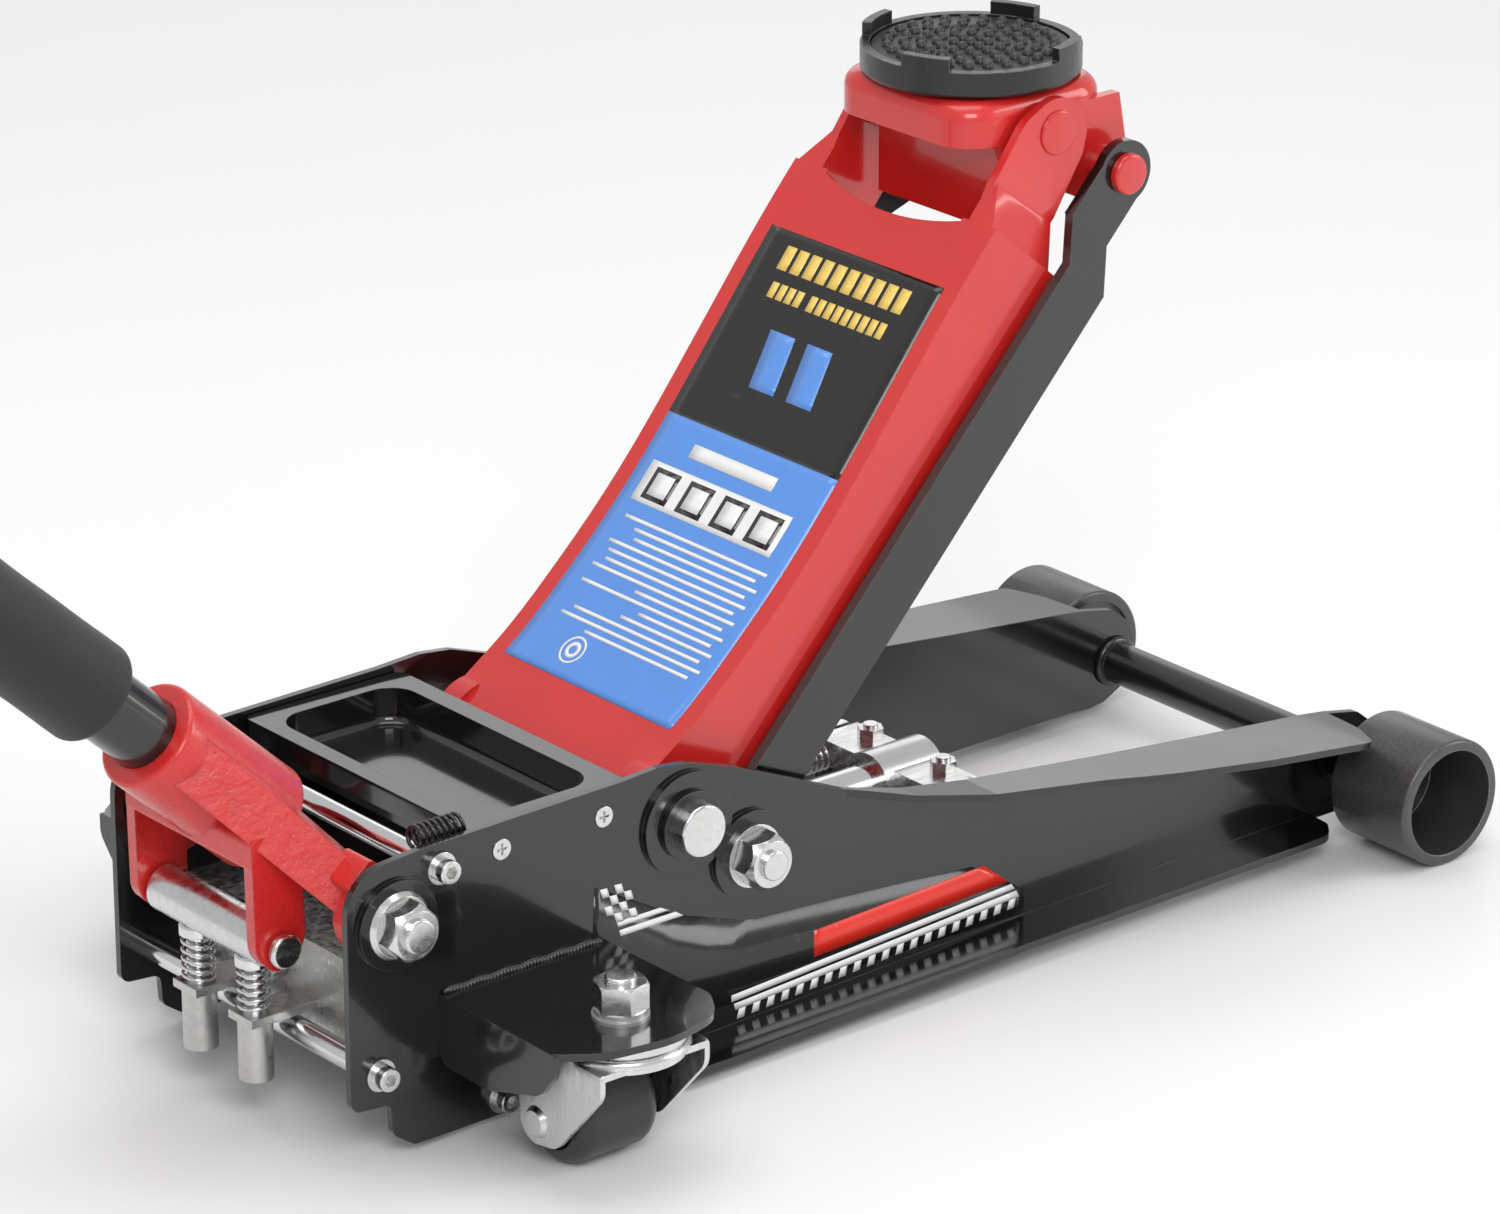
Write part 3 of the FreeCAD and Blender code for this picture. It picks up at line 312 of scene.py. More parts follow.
def cast_black(name, colour):
    """Satin black over a machined casting: shallow grain and rubbed rim with painted highlight."""
    f = Finish(name)
    lumps = f.noise(240, 4, 0.6)
    grain = f.noise(800, 3, 0.6)
    cloud = f.noise(30, 4)
    base = f.mix(cloud, rgba(colour, 0.9), rgba(colour, 1.8))
    # edges lightened: partly rubbing wear, partly painted edge highlight
    edges = f.math("MULTIPLY", f.wear_and_highlight_edges(0.0010), f.span(lumps, 0.4, 0.65, 0.05, 0.8))
    base = f.mix(edges, base, (0.34, 0.34, 0.35, 1.0))
    normal = f.bump(lumps, 0.00025, 0.4, f.rounded(0.0009))
    normal = f.bump(grain, 0.00006, 0.4, normal)
    f.set(Base_Color=base, Roughness=f.span(lumps, 0.3, 0.7, 0.28, 0.44), Normal=normal)
    f.set(Coat_Weight=0.2, Coat_Roughness=0.2)
    return f.mat


def plated(name, colour, rough=0.22, line=(1.0, 1.0, 1.0), tint=(0.86, 0.80, 0.62)):
    """Bright plating: brushed lines, cloudy sheen, a breath of yellow passivation, dull spots."""
    f = Finish(name)
    brush = f.noise(260, 4, 0.6, f.stretched(line))
    cloud = f.noise(34, 4, 0.6)
    spots = f.span(f.cells(150), 0.03, 0.16, 1.0, 0.0, True)
    base = f.mix(f.span(cloud, 0.4, 0.75, 0.0, 0.30), rgba(colour), rgba(tint, colour[0] / 0.86))
    base = f.mix(f.span(brush, 0.3, 0.8, 0.0, 0.25), base, rgba(colour, 0.62))
    base = f.mix(f.math("MULTIPLY", spots, 0.25), base, rgba(colour, 0.45))
    haze = f.span(brush, 0.3, 0.7, rough * 0.6, rough * 1.4)
    haze = f.math("ADD", haze, f.math("MULTIPLY", spots, 0.1))
    normal = f.bump(brush, 0.00003, 0.35, f.rounded(0.0006))
    normal = f.bump(f.noise(900, 2), 0.00002, 0.25, normal)
    f.set(Base_Color=base, Metallic=1.0, Roughness=haze, Normal=normal)
    return f.mat


def chrome(name):
    """Hard chrome: mirror with fine turning lines and a thin oil film."""
    f = Finish(name)
    lines = f.noise(700, 2, 0.5, f.stretched((1.0, 0.05, 1.0)))
    film = f.noise(28, 5, 0.65)
    base = f.mix(film, (0.80, 0.81, 0.83, 1.0), (0.66, 0.67, 0.68, 1.0))
    normal = f.bump(lines, 0.000006, 0.4, f.rounded(0.0005))
    haze = f.span(film, 0.35, 0.7, 0.06, 0.22)
    f.set(Base_Color=base, Metallic=1.0, Roughness=haze, Normal=normal)
    return f.mat


def dark_steel(name, colour, centre, rings=1.0):
    """Blackened turned steel: lathe rings about the axle, painted highlight on rim and tread."""
    f = Finish(name)
    at = f.add("Mapping", {"Vector": f.coords, "Location": (-centre[0], 0.0, -centre[2])})
    flat = {0: at.outputs[0], 1: (1.0, 0.0, 1.0)}
    flat = f.add("VectorMath", flat, operation="MULTIPLY").outputs[0]
    radius = f.add("VectorMath", {0: flat}, operation="LENGTH").outputs["Value"]
    wobble = f.math("MULTIPLY", f.noise(60, 2), 0.0006)
    turned = f.math("SINE", f.math("MULTIPLY", f.math("ADD", radius, wobble), 5200.0))
    cloud = f.noise(30, 5, 0.65)
    grit = f.noise(640, 3, 0.6)
    # painted highlight: the rim edge and the tread beyond it are lightened, speckled by grit
    rim = f.span(radius, 0.0342, 0.0358, 0.0, 1.0, True)
    base = f.mix(cloud, rgba(colour, 0.75), rgba(colour, 1.35))
    rim = f.math("MULTIPLY", rim, f.span(grit, 0.42, 0.7, 0.05, 0.35))
    base = f.mix(rim, base, rgba(colour, 2.6))
    # edges lightened: partly wear, partly painted edge highlight
    edges = f.math("MULTIPLY", f.wear_and_highlight_edges(0.0010), f.span(grit, 0.35, 0.6, 0.2, 0.8))
    base = f.mix(edges, base, (0.46, 0.46, 0.47, 1.0))
    normal = f.bump(turned, 0.000018 * rings, 0.5, f.rounded(0.0012))
    normal = f.bump(grit, 0.00004, 0.3, normal)
    haze = f.span(cloud, 0.3, 0.7, 0.26, 0.42)
    f.set(Base_Color=base, Metallic=0.55, Roughness=haze, Normal=normal)
    f.set(Coat_Weight=0.25, Coat_Roughness=0.18)
    return f.mat


def rubber(name, colour, rough=0.55, grain=1.0):
    """Moulded rubber or hard plastic: fine grain, faint bloom, scuffs."""
    f = Finish(name)
    grit = f.noise(900, 4, 0.6)
    cloud = f.noise(40, 4, 0.6)
    rubbed = f.noise(70, 6, 0.7, f.stretched((1.0, 3.0, 0.6), (0.3, 0.5, 0.2)))
    scuff = f.span(rubbed, 0.6, 0.75, 0.0, 1.0, True)
    base = f.mix(cloud, rgba(colour, 0.75), rgba(colour, 1.3))
    base = f.mix(f.math("MULTIPLY", scuff, 0.35), base, rgba(colour, 2.2))
    # edges lightened: partly wear, partly painted edge highlight
    edges = f.math("MULTIPLY", f.wear_and_highlight_edges(0.0010), 0.25)
    base = f.mix(edges, base, rgba(colour, 3.0))
    haze = f.span(cloud, 0.3, 0.7, rough * 0.85, rough * 1.15)
    haze = f.math("ADD", haze, f.math("MULTIPLY", scuff, 0.12))
    normal = f.bump(grit, 0.00009 * grain, 0.45, f.rounded(0.0006))
    f.set(Base_Color=base, Roughness=haze, Normal=normal, Specular_IOR_Level=0.45)
    return f.mat


def foam(name, colour):
    """Closed-cell sleeve foam: skinned pores, soft sheen, slight pressed dents."""
    f = Finish(name)
    pores = f.cells(1500)
    grain = f.noise(1900, 3, 0.6)
    dents = f.noise(32, 3, 0.5)
    # painted shade: the pores are darkened
    base = f.mix(f.span(pores, 0.1, 0.5, 0.6, 0.0), rgba(colour), rgba(colour, 0.45))
    # painted highlight: the raised parts between the dents are lightened
    base = f.mix(f.span(dents, 0.4, 0.7, 0.0, 0.3), base, rgba(colour, 1.6))
    normal = f.bump(pores, 0.00016, 0.5)
    normal = f.bump(grain, 0.00006, 0.35, normal)
    normal = f.bump(dents, 0.0006, 0.35, normal)
    f.set(Base_Color=base, Roughness=f.span(dents, 0.3, 0.7, 0.52, 0.68), Normal=normal)
    f.set(Sheen_Weight=0.12, Sheen_Roughness=0.5, Specular_IOR_Level=0.35)
    return f.mat


def film(name, colour, rough=0.22):
    """Printed vinyl film: faint screen grain, tiny bubbles, light rubbing."""
    f = Finish(name)
    cloud = f.noise(60, 4, 0.6)
    screen = f.noise(2600, 1)
    bubbles = f.span(f.cells(120), 0.0, 0.10, 1.0, 0.0, True)
    rub = f.noise(80, 6, 0.7, f.stretched((1.0, 0.3, 1.0)))
    rub = f.span(rub, 0.62, 0.76, 0.0, 1.0, True)
    base = f.mix(cloud, rgba(colour, 0.93), rgba(colour, 1.05))
    base = f.mix(f.math("MULTIPLY", rub, 0.12), base, (0.5, 0.5, 0.5, 1.0))
    haze = f.span(cloud, 0.3, 0.7, rough * 0.8, rough * 1.2)
    haze = f.math("ADD", haze, f.math("MULTIPLY", rub, 0.15))
    normal = f.bump(bubbles, 0.00006, 0.3)
    normal = f.bump(screen, 0.000008, 0.25, normal)
    f.set(Base_Color=base, Roughness=haze, Normal=normal, Coat_Weight=0.2, Coat_Roughness=0.1)
    return f.mat


# ------------------------------------------------------------------ user settings
class JackSizes(bpy.types.PropertyGroup):
    """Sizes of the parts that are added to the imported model."""
    foam_radius: bpy.props.FloatProperty(
        name="Foam radius", description="Outside radius of the handle sleeve",
        default=0.0268, min=0.021, max=0.027, unit="LENGTH")
    foam_start: bpy.props.FloatProperty(
        name="Foam start", description="Where the sleeve starts along the handle",
        default=0.004, unit="LENGTH")
    foam_end: bpy.props.FloatProperty(
        name="Foam end", description="Where the sleeve ends along the handle",
        default=0.330, unit="LENGTH")
    stud_radius: bpy.props.FloatProperty(
        name="Stud radius", description="Radius of a rubber stud on the saddle pad",
        default=0.0031, unit="LENGTH")
    stud_height: bpy.props.FloatProperty(
        name="Stud height", description="How far a stud stands above the pad",
        default=0.0034, unit="LENGTH")
    weld_radius: bpy.props.FloatProperty(
        name="Weld size", description="Radius of a laid weld bead",
        default=0.0022, unit="LENGTH")
    weld_pitch: bpy.props.FloatProperty(
        name="Weld pitch", description="Distance between two weld ripples",
        default=0.0021, unit="LENGTH")
    film_lift: bpy.props.FloatProperty(
        name="Film lift", description="Height of the first printed film over the paint",
        default=0.0001, unit="LENGTH")


def colour_property(name, words, value):
    return bpy.props.FloatVectorProperty(
        name=name, description=words, default=value, size=3, min=0.0, max=1.0, subtype="COLOR")


class JackColours(bpy.types.PropertyGroup):
    """Colours of paints, films, rubber and plating."""
    frame_black: colour_property(
        "Frame black", "Enamel of the side plates", (0.0075, 0.0073, 0.007))
    arm_red: colour_property(
        "Arm red", "Enamel of the lift arm and saddle bracket", (0.62, 0.020, 0.017))
    cast_red: colour_property("Cast red", "Enamel over the cast handle yoke", (0.62, 0.022, 0.020))
    zinc: colour_property("Zinc", "Plated bolts, nuts and caster forks", (0.72, 0.73, 0.74))
    wheel_steel: colour_property(
        "Wheel steel", "Blackened turned front wheels", (0.070, 0.070, 0.072))
    rubber_black: colour_property(
        "Rubber", "Saddle pad, caster tread and grip", (0.030, 0.031, 0.033))
    foam_black: colour_property("Foam", "Handle sleeve", (0.020, 0.020, 0.022))
    film_blue: colour_property("Film blue", "Lower field of the arm label", (0.105, 0.290, 0.760))
    film_black: colour_property("Film black", "Upper field of the arm label", (0.012, 0.011, 0.010))
    film_yellow: colour_property("Film yellow", "Bars on the arm label", (0.90, 0.62, 0.13))
    film_red: colour_property("Film red", "Stripe on the side plates", (0.78, 0.030, 0.016))
    film_white: colour_property("Film white", "Light print on the films", (0.86, 0.86, 0.85))


def sizes():
    return bpy.context.scene.jack_sizes


def colours():
    return bpy.context.scene.jack_colours


# ------------------------------------------------------------------ steel parts
def soft_shading():
    """Node tree that merges loose triangles and shades smooth across edges under 30 degrees."""
    tree = bpy.data.node_groups.new("soft_shading", "GeometryNodeTree")
    tree.interface.new_socket("Geometry", in_out="INPUT", socket_type="NodeSocketGeometry")
    tree.interface.new_socket("Geometry", in_out="OUTPUT", socket_type="NodeSocketGeometry")
    start, end = tree.nodes.new("NodeGroupInput"), tree.nodes.new("NodeGroupOutput")
    merge = tree.nodes.new("GeometryNodeMergeByDistance")
    merge.inputs["Distance"].default_value = 3e-6
    faces = tree.nodes.new("GeometryNodeSetShadeSmooth")
    edges = tree.nodes.new("GeometryNodeSetShadeSmooth")
    edges.domain = "EDGE"
    angle = tree.nodes.new("GeometryNodeInputMeshEdgeAngle")
    flat = tree.nodes.new("FunctionNodeCompare")
    flat.data_type, flat.operation = "FLOAT", "LESS_THAN"
    flat.inputs[1].default_value = math.radians(30)
    link = tree.links.new
    link(start.outputs[0], merge.inputs["Geometry"])
    link(merge.outputs["Geometry"], faces.inputs["Geometry"])
    link(faces.outputs["Geometry"], edges.inputs["Geometry"])
    link(angle.outputs["Unsigned Angle"], flat.inputs[0])
    link(flat.outputs[0], edges.inputs["Shade Smooth"])
    link(edges.outputs["Geometry"], end.inputs[0])
    return tree


def dress(names, material):
    for name in names.split():
        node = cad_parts[name]
        node.data.materials.clear()
        node.data.materials.append(material)


class JACK_OT_steel(bpy.types.Operator):
    """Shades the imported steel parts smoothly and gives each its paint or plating"""
    bl_idname = "jack.steel"
    bl_label = "Paint and plate the steel parts"

    def execute(self, context):
        c = colours()
        tree = soft_shading()
        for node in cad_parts.values():
            smooth = node.modifiers.new("soft shading", "NODES")
            smooth.node_group = tree
        black = gloss_paint("frame_enamel", c.frame_black)
        dress("right_side_plate left_side_plate", black)
        dress("right_caster_bracket left_caster_bracket", black)
        dress("tool_tray", gloss_paint("tray_enamel", c.frame_black, rough=0.12, peel=0.6))
        links = gloss_paint("link_enamel", c.frame_black, peel=1.4)
        dress("right_parallel_link left_parallel_link", links)
        dress("ram_cylinder", gloss_paint("pump_enamel", c.frame_black, rough=0.26, peel=1.6))
        dress("pump_block", plated("cast_alloy", (0.60, 0.60, 0.59), rough=0.38))
        tube = gloss_paint("tube_enamel", c.frame_black, rough=0.2)
        dress("handle_lower_tube handle_upper_tube", tube)
        red = gloss_paint("arm_enamel", c.arm_red, rough=0.2, edge_wear_and_highlight=0.25)
        dress("lift_arm bracket_pins", red)
        red = gloss_paint("bracket_enamel", c.arm_red, rough=0.24, peel=2.2)
        dress("saddle_bracket link_top_pins", red)
        dress("handle_yoke", cast_paint("yoke_enamel", c.cast_red))
        zinc = plated("zinc_plate", c.zinc)
        dress("caster_kingpins caster_nuts pivot_nuts link_pivot_bolts", zinc)
        dress("yoke_pivot_bolts lift_arm_shaft washers_and_spacers", zinc)
        dress("tray_screws tie_rod_screws filler_plug handle_lock_bolt", zinc)
        fork = plated("fork_plate", c.zinc, rough=0.3, line=(1.0, 1.0, 0.25))
        dress("caster_races right_caster_fork left_caster_fork", fork)
        dress("right_caster_axle left_caster_axle", fork)
        lathe_lines, straw = (0.15, 1.0, 1.0), (0.70, 0.62, 0.48)
        turned = plated("turned_steel", c.zinc, rough=0.26, line=lathe_lines, tint=straw)
        dress("gland_nut crosshead crosshead_pins drag_links", turned)
        dress("release_valve roller_pin pump_roller", turned)
        dress("return_springs plunger_springs", plated("spring_wire", c.zinc, rough=0.16))
        bright = chrome("hard_chrome")
        dress("upper_tie_rod lower_tie_rod bottom_tie_bar ram_rod pump_plungers", bright)
        oxide = gloss_paint("black_oxide", c.frame_black, rough=0.3, peel=0.3, edge_wear_and_highlight=0.6)
        dress("retaining_rings saddle_circlip handle_spring front_axle", oxide)
        low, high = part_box("front_axle")
        wheel = dark_steel("wheel_steel", c.wheel_steel, (low + high) / 2)
        dress("right_front_wheel left_front_wheel", wheel)
        tread = rubber("caster_tread", c.rubber_black, 0.34, 0.5)
        dress("right_caster_wheel left_caster_wheel", tread)
        dress("saddle", cast_black("saddle_iron", c.frame_black))
        dress("saddle_pad", rubber("pad_rubber", c.rubber_black))
        dress("handle_grip", rubber("grip_rubber", c.rubber_black, 0.5))
        dress("handle_foam_sleeve", foam("sleeve_core", c.foam_black))
        return {"FINISHED"}


# ------------------------------------------------------------------ soft parts
class JACK_OT_sleeve(bpy.types.Operator):
    """Foam sleeve on the handle, in place of its plain solid"""
    bl_idname = "jack.sleeve"
    bl_label = "Foam sleeve"

    def execute(self, context):
        z = sizes()
        start, end, r = z.foam_start, z.foam_end, z.foam_radius
        turn = np.linspace(0, np.pi / 2, 9)
        roll = 0.0055
        left = np.stack([start + roll * (1 - np.sin(turn)), r - roll * (1 - np.cos(turn))], 1)[::-1]
        body = np.linspace(start + roll, end - roll, 90)[1:-1]
        swell = r - 0.00025 + 0.00025 * np.sin(body * 95) * np.cos(body * 31)
        right = np.stack([end - roll * (1 - np.sin(turn)), r - roll * (1 - np.cos(turn))], 1)
        bore = np.array([[end, TUBE_BORE], [start, TUBE_BORE]])
        profile = np.concatenate([left, np.stack([body, swell], 1), right, bore])
        axis = (-math.cos(HANDLE_TILT), 0.0, math.sin(HANDLE_TILT))
        foot = place(HANDLE_FOOT[0], 0, HANDLE_FOOT[1])
        sleeve = lathe("foam_sleeve", profile, foot, axis, 96, True)
        sleeve.data.materials.append(foam("sleeve_foam", colours().foam_black))
        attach(sleeve, "handle")
        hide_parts("handle_foam_sleeve")
        return {"FINISHED"}


class JACK_OT_pad(bpy.types.Operator):
    """Rubber saddle pad with rings of round studs"""
    bl_idname = "jack.pad"
    bl_label = "Saddle pad"

    def execute(self, context):
        z = sizes()
        centre = place(SADDLE_X, 0, PAD_TOP)
        rim = np.linspace(0, np.pi / 2, 6)
        edge = np.stack([-0.001 + 0.001 * np.sin(rim), 0.0515 + 0.001 * np.cos(rim)], 1)
        under, over = [[-0.0038, 0.0], [-0.0038, 0.0525]], [[0.0, 0.03], [0.0, 0.0]]
        profile = np.concatenate([under, edge, over])
        disc = lathe("saddle_pad_disc", profile, centre, (0, 0, 1), 128)
        disc.data.materials.append(rubber("pad_rubber_sheet", colours().rubber_black, 0.5))
        rings = ((0.0, 1), (0.0088, 6), (0.0176, 12), (0.0264, 17), (0.0352, 22), (0.0440, 27))
        spots = []
        for radius, count in rings:
            t = 2 * np.pi * (np.arange(count) + 0.37 * (radius * 1000 % 2)) / count
            spots.append(np.stack([radius * np.cos(t), radius * np.sin(t), 0 * t], 1))
        spots = np.concatenate(spots) + centre
        lean = np.linspace(0, np.pi / 2, 5)
        t = np.linspace(0, 2 * np.pi, 14, endpoint=False)
        circle = np.stack([np.cos(t), np.sin(t), 0 * t], 1)
        ring = z.stud_radius * np.cos(lean)[:, None, None] * circle
        dome = ring + z.stud_height * np.sin(lean)[:, None, None] * np.array([0, 0, 1.0])
        foot = dome[:1] - np.array([0, 0, 0.0012])
        dome = np.concatenate([foot, dome]).reshape(-1, 3)
        points = (spots[:, None] + dome[None]).reshape(-1, 3)
        faces = grid_faces(6, 14, False, True)
        faces = (faces[None] + np.arange(len(spots))[:, None, None] * len(dome)).reshape(-1, 4)
        studs = tidy_shell(build("saddle_pad_studs", points, faces))
        studs.data.materials.append(rubber("pad_rubber_studs", colours().rubber_black, 0.36, 0.6))
        for piece in (disc, studs):
            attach(piece, "saddle")
        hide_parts("saddle_pad")
        return {"FINISHED"}


# ------------------------------------------------------------------ welds
class JACK_OT_welds(bpy.types.Operator):
    """Laid weld beads on the caster brackets and round the front axle"""
    bl_idname = "jack.welds"
    bl_label = "Weld beads"

    def execute(self, context):
        z = sizes()
        paint = gloss_paint("weld_enamel", colours().frame_black, rough=0.22, peel=2.0)
        seam = np.linspace(0, 1, 420)
        ring = np.linspace(0, 2 * np.pi, 260, endpoint=False)
        for side, word in SIDES:
            wander = 0.35 * np.sin(seam * 37)
            top = place(56 + 100 * seam, side * (WEB_FACE + 0.9), 82.6 + wander)
            shelf = bead(word + "_bracket_weld", top, z.weld_radius, z.weld_pitch)
            reach = 15.4 + 0.3 * np.sin(3 * ring)
            x, z_up = AXLE[0] + reach * np.cos(ring), AXLE[1] + reach * np.sin(ring)
            hoop = place(x, side * (WEB_FACE + 0.8), z_up)
            collar = bead(word + "_axle_weld", hoop, z.weld_radius, z.weld_pitch, closed=True)
            for piece in (shelf, collar):
                piece.data.materials.append(paint)
                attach(piece, "frame")
        return {"FINISHED"}


# ------------------------------------------------------------------ printed films
def slanted(name, low, high, side, lift, columns=24, rows=3):
    """Flat film on a side plate: a grid between a lower and an upper edge line. Each line is
    given by (x, z) points and read at equal steps of u. The point at (u, v) is
    (1 - v) * low(u) + v * high(u)."""
    def along(line):
        line = np.asarray(line, float)
        at = np.linspace(0, 1, len(line))
        u = np.linspace(0, 1, columns)
        return np.stack([np.interp(u, at, line[:, 0]), np.interp(u, at, line[:, 1])], 1)
    v = np.linspace(0, 1, rows)[:, None, None]
    flat = (1 - v) * along(low) + v * along(high)
    points = place(flat[..., 0], side * (WEB_FACE + lift / MM), flat[..., 1])
    faces = grid_faces(rows, columns)
    if side > 0:
        faces = faces[:, ::-1]
    return build(name, points.reshape(-1, 3), faces[:, ::-1])


def thicken(piece, thickness):
    """Gives an open sheet a closed body on its under side."""
    shell = piece.modifiers.new("film body", "SOLIDIFY")
    shell.thickness = thickness
    shell.offset = -1.0
    return piece


def film_piece(parts, name, material, body):
    piece = join(name, parts)
    piece.data.materials.append(material)
    thicken(piece, FILM_BODY)
    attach(piece, body)
    return piece


class JACK_OT_side_film(bpy.types.Operator):
    """Racing stripes on both side plates: a dark field, a red stripe, white lines and checks"""
    bl_idname = "jack.side_film"
    bl_label = "Side plate films"

    def execute(self, context):
        c, z = colours(), sizes()
        field = film("field_film", c.film_black, 0.16)
        red = film("stripe_film", c.film_red)
        white = film("line_film", c.film_white)
        for side, word in SIDES:
            def strip(low, high, up=2, columns=24):
                return slanted("strip", low, high, side, z.film_lift * up, columns)
            low = [(150, 66), (196, 24), (300, 19), (441, 16)]
            high = [(152, 112), (205, 82), (250, 66), (300, 62), (405, 53), (441, 30)]
            dark = [strip(low, high, 1, 60)]
            film_piece(dark, word + "_film_field", field, "frame")
            bar = [strip([(295.5, 32.2), (429.5, 37.6)], [(295.5, 47.2), (412, 51.5)])]
            film_piece(bar, word + "_film_stripe", red, "frame")
            lines = [strip([(240.5, 22.8), (434.5, 32.0)], [(240.5, 26.6), (432.0, 35.4)]),
                     strip([(243.0, 17.6), (437.5, 26.6)], [(242.0, 21.4), (435.5, 30.6)]),
                     strip([(168.4, 80.5), (209.0, 80.5)], [(167.6, 84.0), (204.0, 84.0)]),
                     strip([(166.8, 86.0), (200.0, 86.0)], [(166.1, 89.0), (194.0, 89.0)])]
            tooth_pitch, tooth_count, slope = 9.75, 20, 0.0462
            for k in range(tooth_count):
                x = 245.5 + tooth_pitch * k
                top = 17.8 + slope * (x - 243)
                low = [(x - 1.6, top - 5.6), (x + 3.2, top - 5.4)]
                lines.append(strip(low, [(x, top), (x + 4.6, top + 0.2)], 2, 3))
            check, row_drop, row_lean = 4.6, 5.2, 1.4
            for row in range(4):
                for k in range(row % 2, 4, 2):
                    x = 155.5 + check * k + row_lean * row
                    top = 109.5 - row_drop * row
                    low = [(x + 1.6, top - row_drop), (x + 1.6 + check, top - 5.4)]
                    lines.append(strip(low, [(x, top), (x + check, top - 0.2)], 2, 3))
            film_piece(lines, word + "_film_lines", white, "frame")
        return {"FINISHED"}


def arm_surface(s, y):
    """Points and outward normals on the arm's top plate, s from 0 at its foot to 1 at its head.
    The line through ARM_LINE is a natural cubic spline over chord length. Its second slopes m solve
    h0 m0 + 2 (h0 + h1) m1 + h1 m2 = 6 (rise1 / h1 - rise0 / h0)."""
    line = np.asarray(ARM_LINE, float)
    t = np.concatenate([[0.0], np.cumsum(np.linalg.norm(np.diff(line, axis=0), axis=1))])
    h, n = np.diff(t), len(t)
    system, rise = np.eye(n), np.diff(line, axis=0) / h[:, None]
    inner = np.arange(1, n - 1)
    system[inner, inner] = 2 * (h[:-1] + h[1:])
    system[inner, inner - 1] = h[:-1]
    system[inner, inner + 1] = h[1:]
    right = np.zeros((n, 2))
    right[1:-1] = 6 * np.diff(rise, axis=0)
    m = np.linalg.solve(system, right)
    q = np.asarray(s, float) * t[-1]
    k = np.clip(np.searchsorted(t, q, side="right") - 1, 0, n - 2)
    a, b = ((t[k + 1] - q) / h[k])[..., None], ((q - t[k]) / h[k])[..., None]
    bend = ((a ** 3 - a) * m[k] + (b ** 3 - b) * m[k + 1]) * h[k][..., None] ** 2 / 6
    xz = a * line[k] + b * line[k + 1] + bend
    slope = rise[k] + (-(3 * a ** 2 - 1) * m[k] + (3 * b ** 2 - 1) * m[k + 1]) * h[k][..., None] / 6
    slope /= np.linalg.norm(slope, axis=-1)[..., None]
    points = place(xz[..., 0], y, xz[..., 1])
    normal = np.stack([-slope[..., 1], 0 * slope[..., 0], slope[..., 0]], -1)
    return points, normal


def arm_patch(s0, s1, y0, y1, lift, skew=0.0):
    """Film on the arm between two stations and two widths, in steps of about 4 mm, raised by lift.
    skew leans its side edges, in millimetres of y over its height."""
    rough_run, step_along, step_across = 350, 4, 8
    rows = max(int(abs(s1 - s0) * rough_run / step_along), 1) + 1
    columns = max(int(abs(y1 - y0) / step_across), 1) + 1
    s, v = np.meshgrid(np.linspace(s0, s1, rows), np.linspace(0, 1, columns), indexing="ij")
    y = y0 + (y1 - y0) * v + skew * (s - s0) / (s1 - s0)
    points, normal = arm_surface(s, y)
    points = points + normal * lift
    return build("patch", points.reshape(-1, 3), grid_faces(rows, columns)[:, ::-1])


def arm_ring(s, y, radius, width, lift):
    """Flat ring on the arm: point (r, t) lies at width y + r cos t, r sin t further along."""
    steps, arm_run = 40, 343.0
    t = np.linspace(0, 2 * np.pi, steps, endpoint=False)
    r = np.array([radius - width, radius])[:, None]
    points, normal = arm_surface(s + r * np.sin(t) / arm_run, y + r * np.cos(t))
    points = points + normal * lift
    return build("ring", points.reshape(-1, 3), grid_faces(2, steps, False, True))


def cling(piece, lift):
    """Presses a film onto the arm's real surface and fixes the result in its mesh."""
    wrap = piece.modifiers.new("cling", "SHRINKWRAP")
    wrap.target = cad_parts["lift_arm"]
    wrap.wrap_method = "NEAREST_SURFACEPOINT"
    wrap.wrap_mode = "ABOVE_SURFACE"
    wrap.offset = lift
    view = bpy.context.evaluated_depsgraph_get()
    mesh = bpy.data.meshes.new_from_object(piece.evaluated_get(view))
    piece.modifiers.clear()
    piece.data = mesh
    return piece


def arm_film(parts, name, material, lift):
    piece = cling(join(name, parts), lift)
    piece.name = name
    if not piece.data.materials:
        piece.data.materials.append(material)
    thicken(piece, FILM_BODY)
    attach(piece, "arm")
    return piece


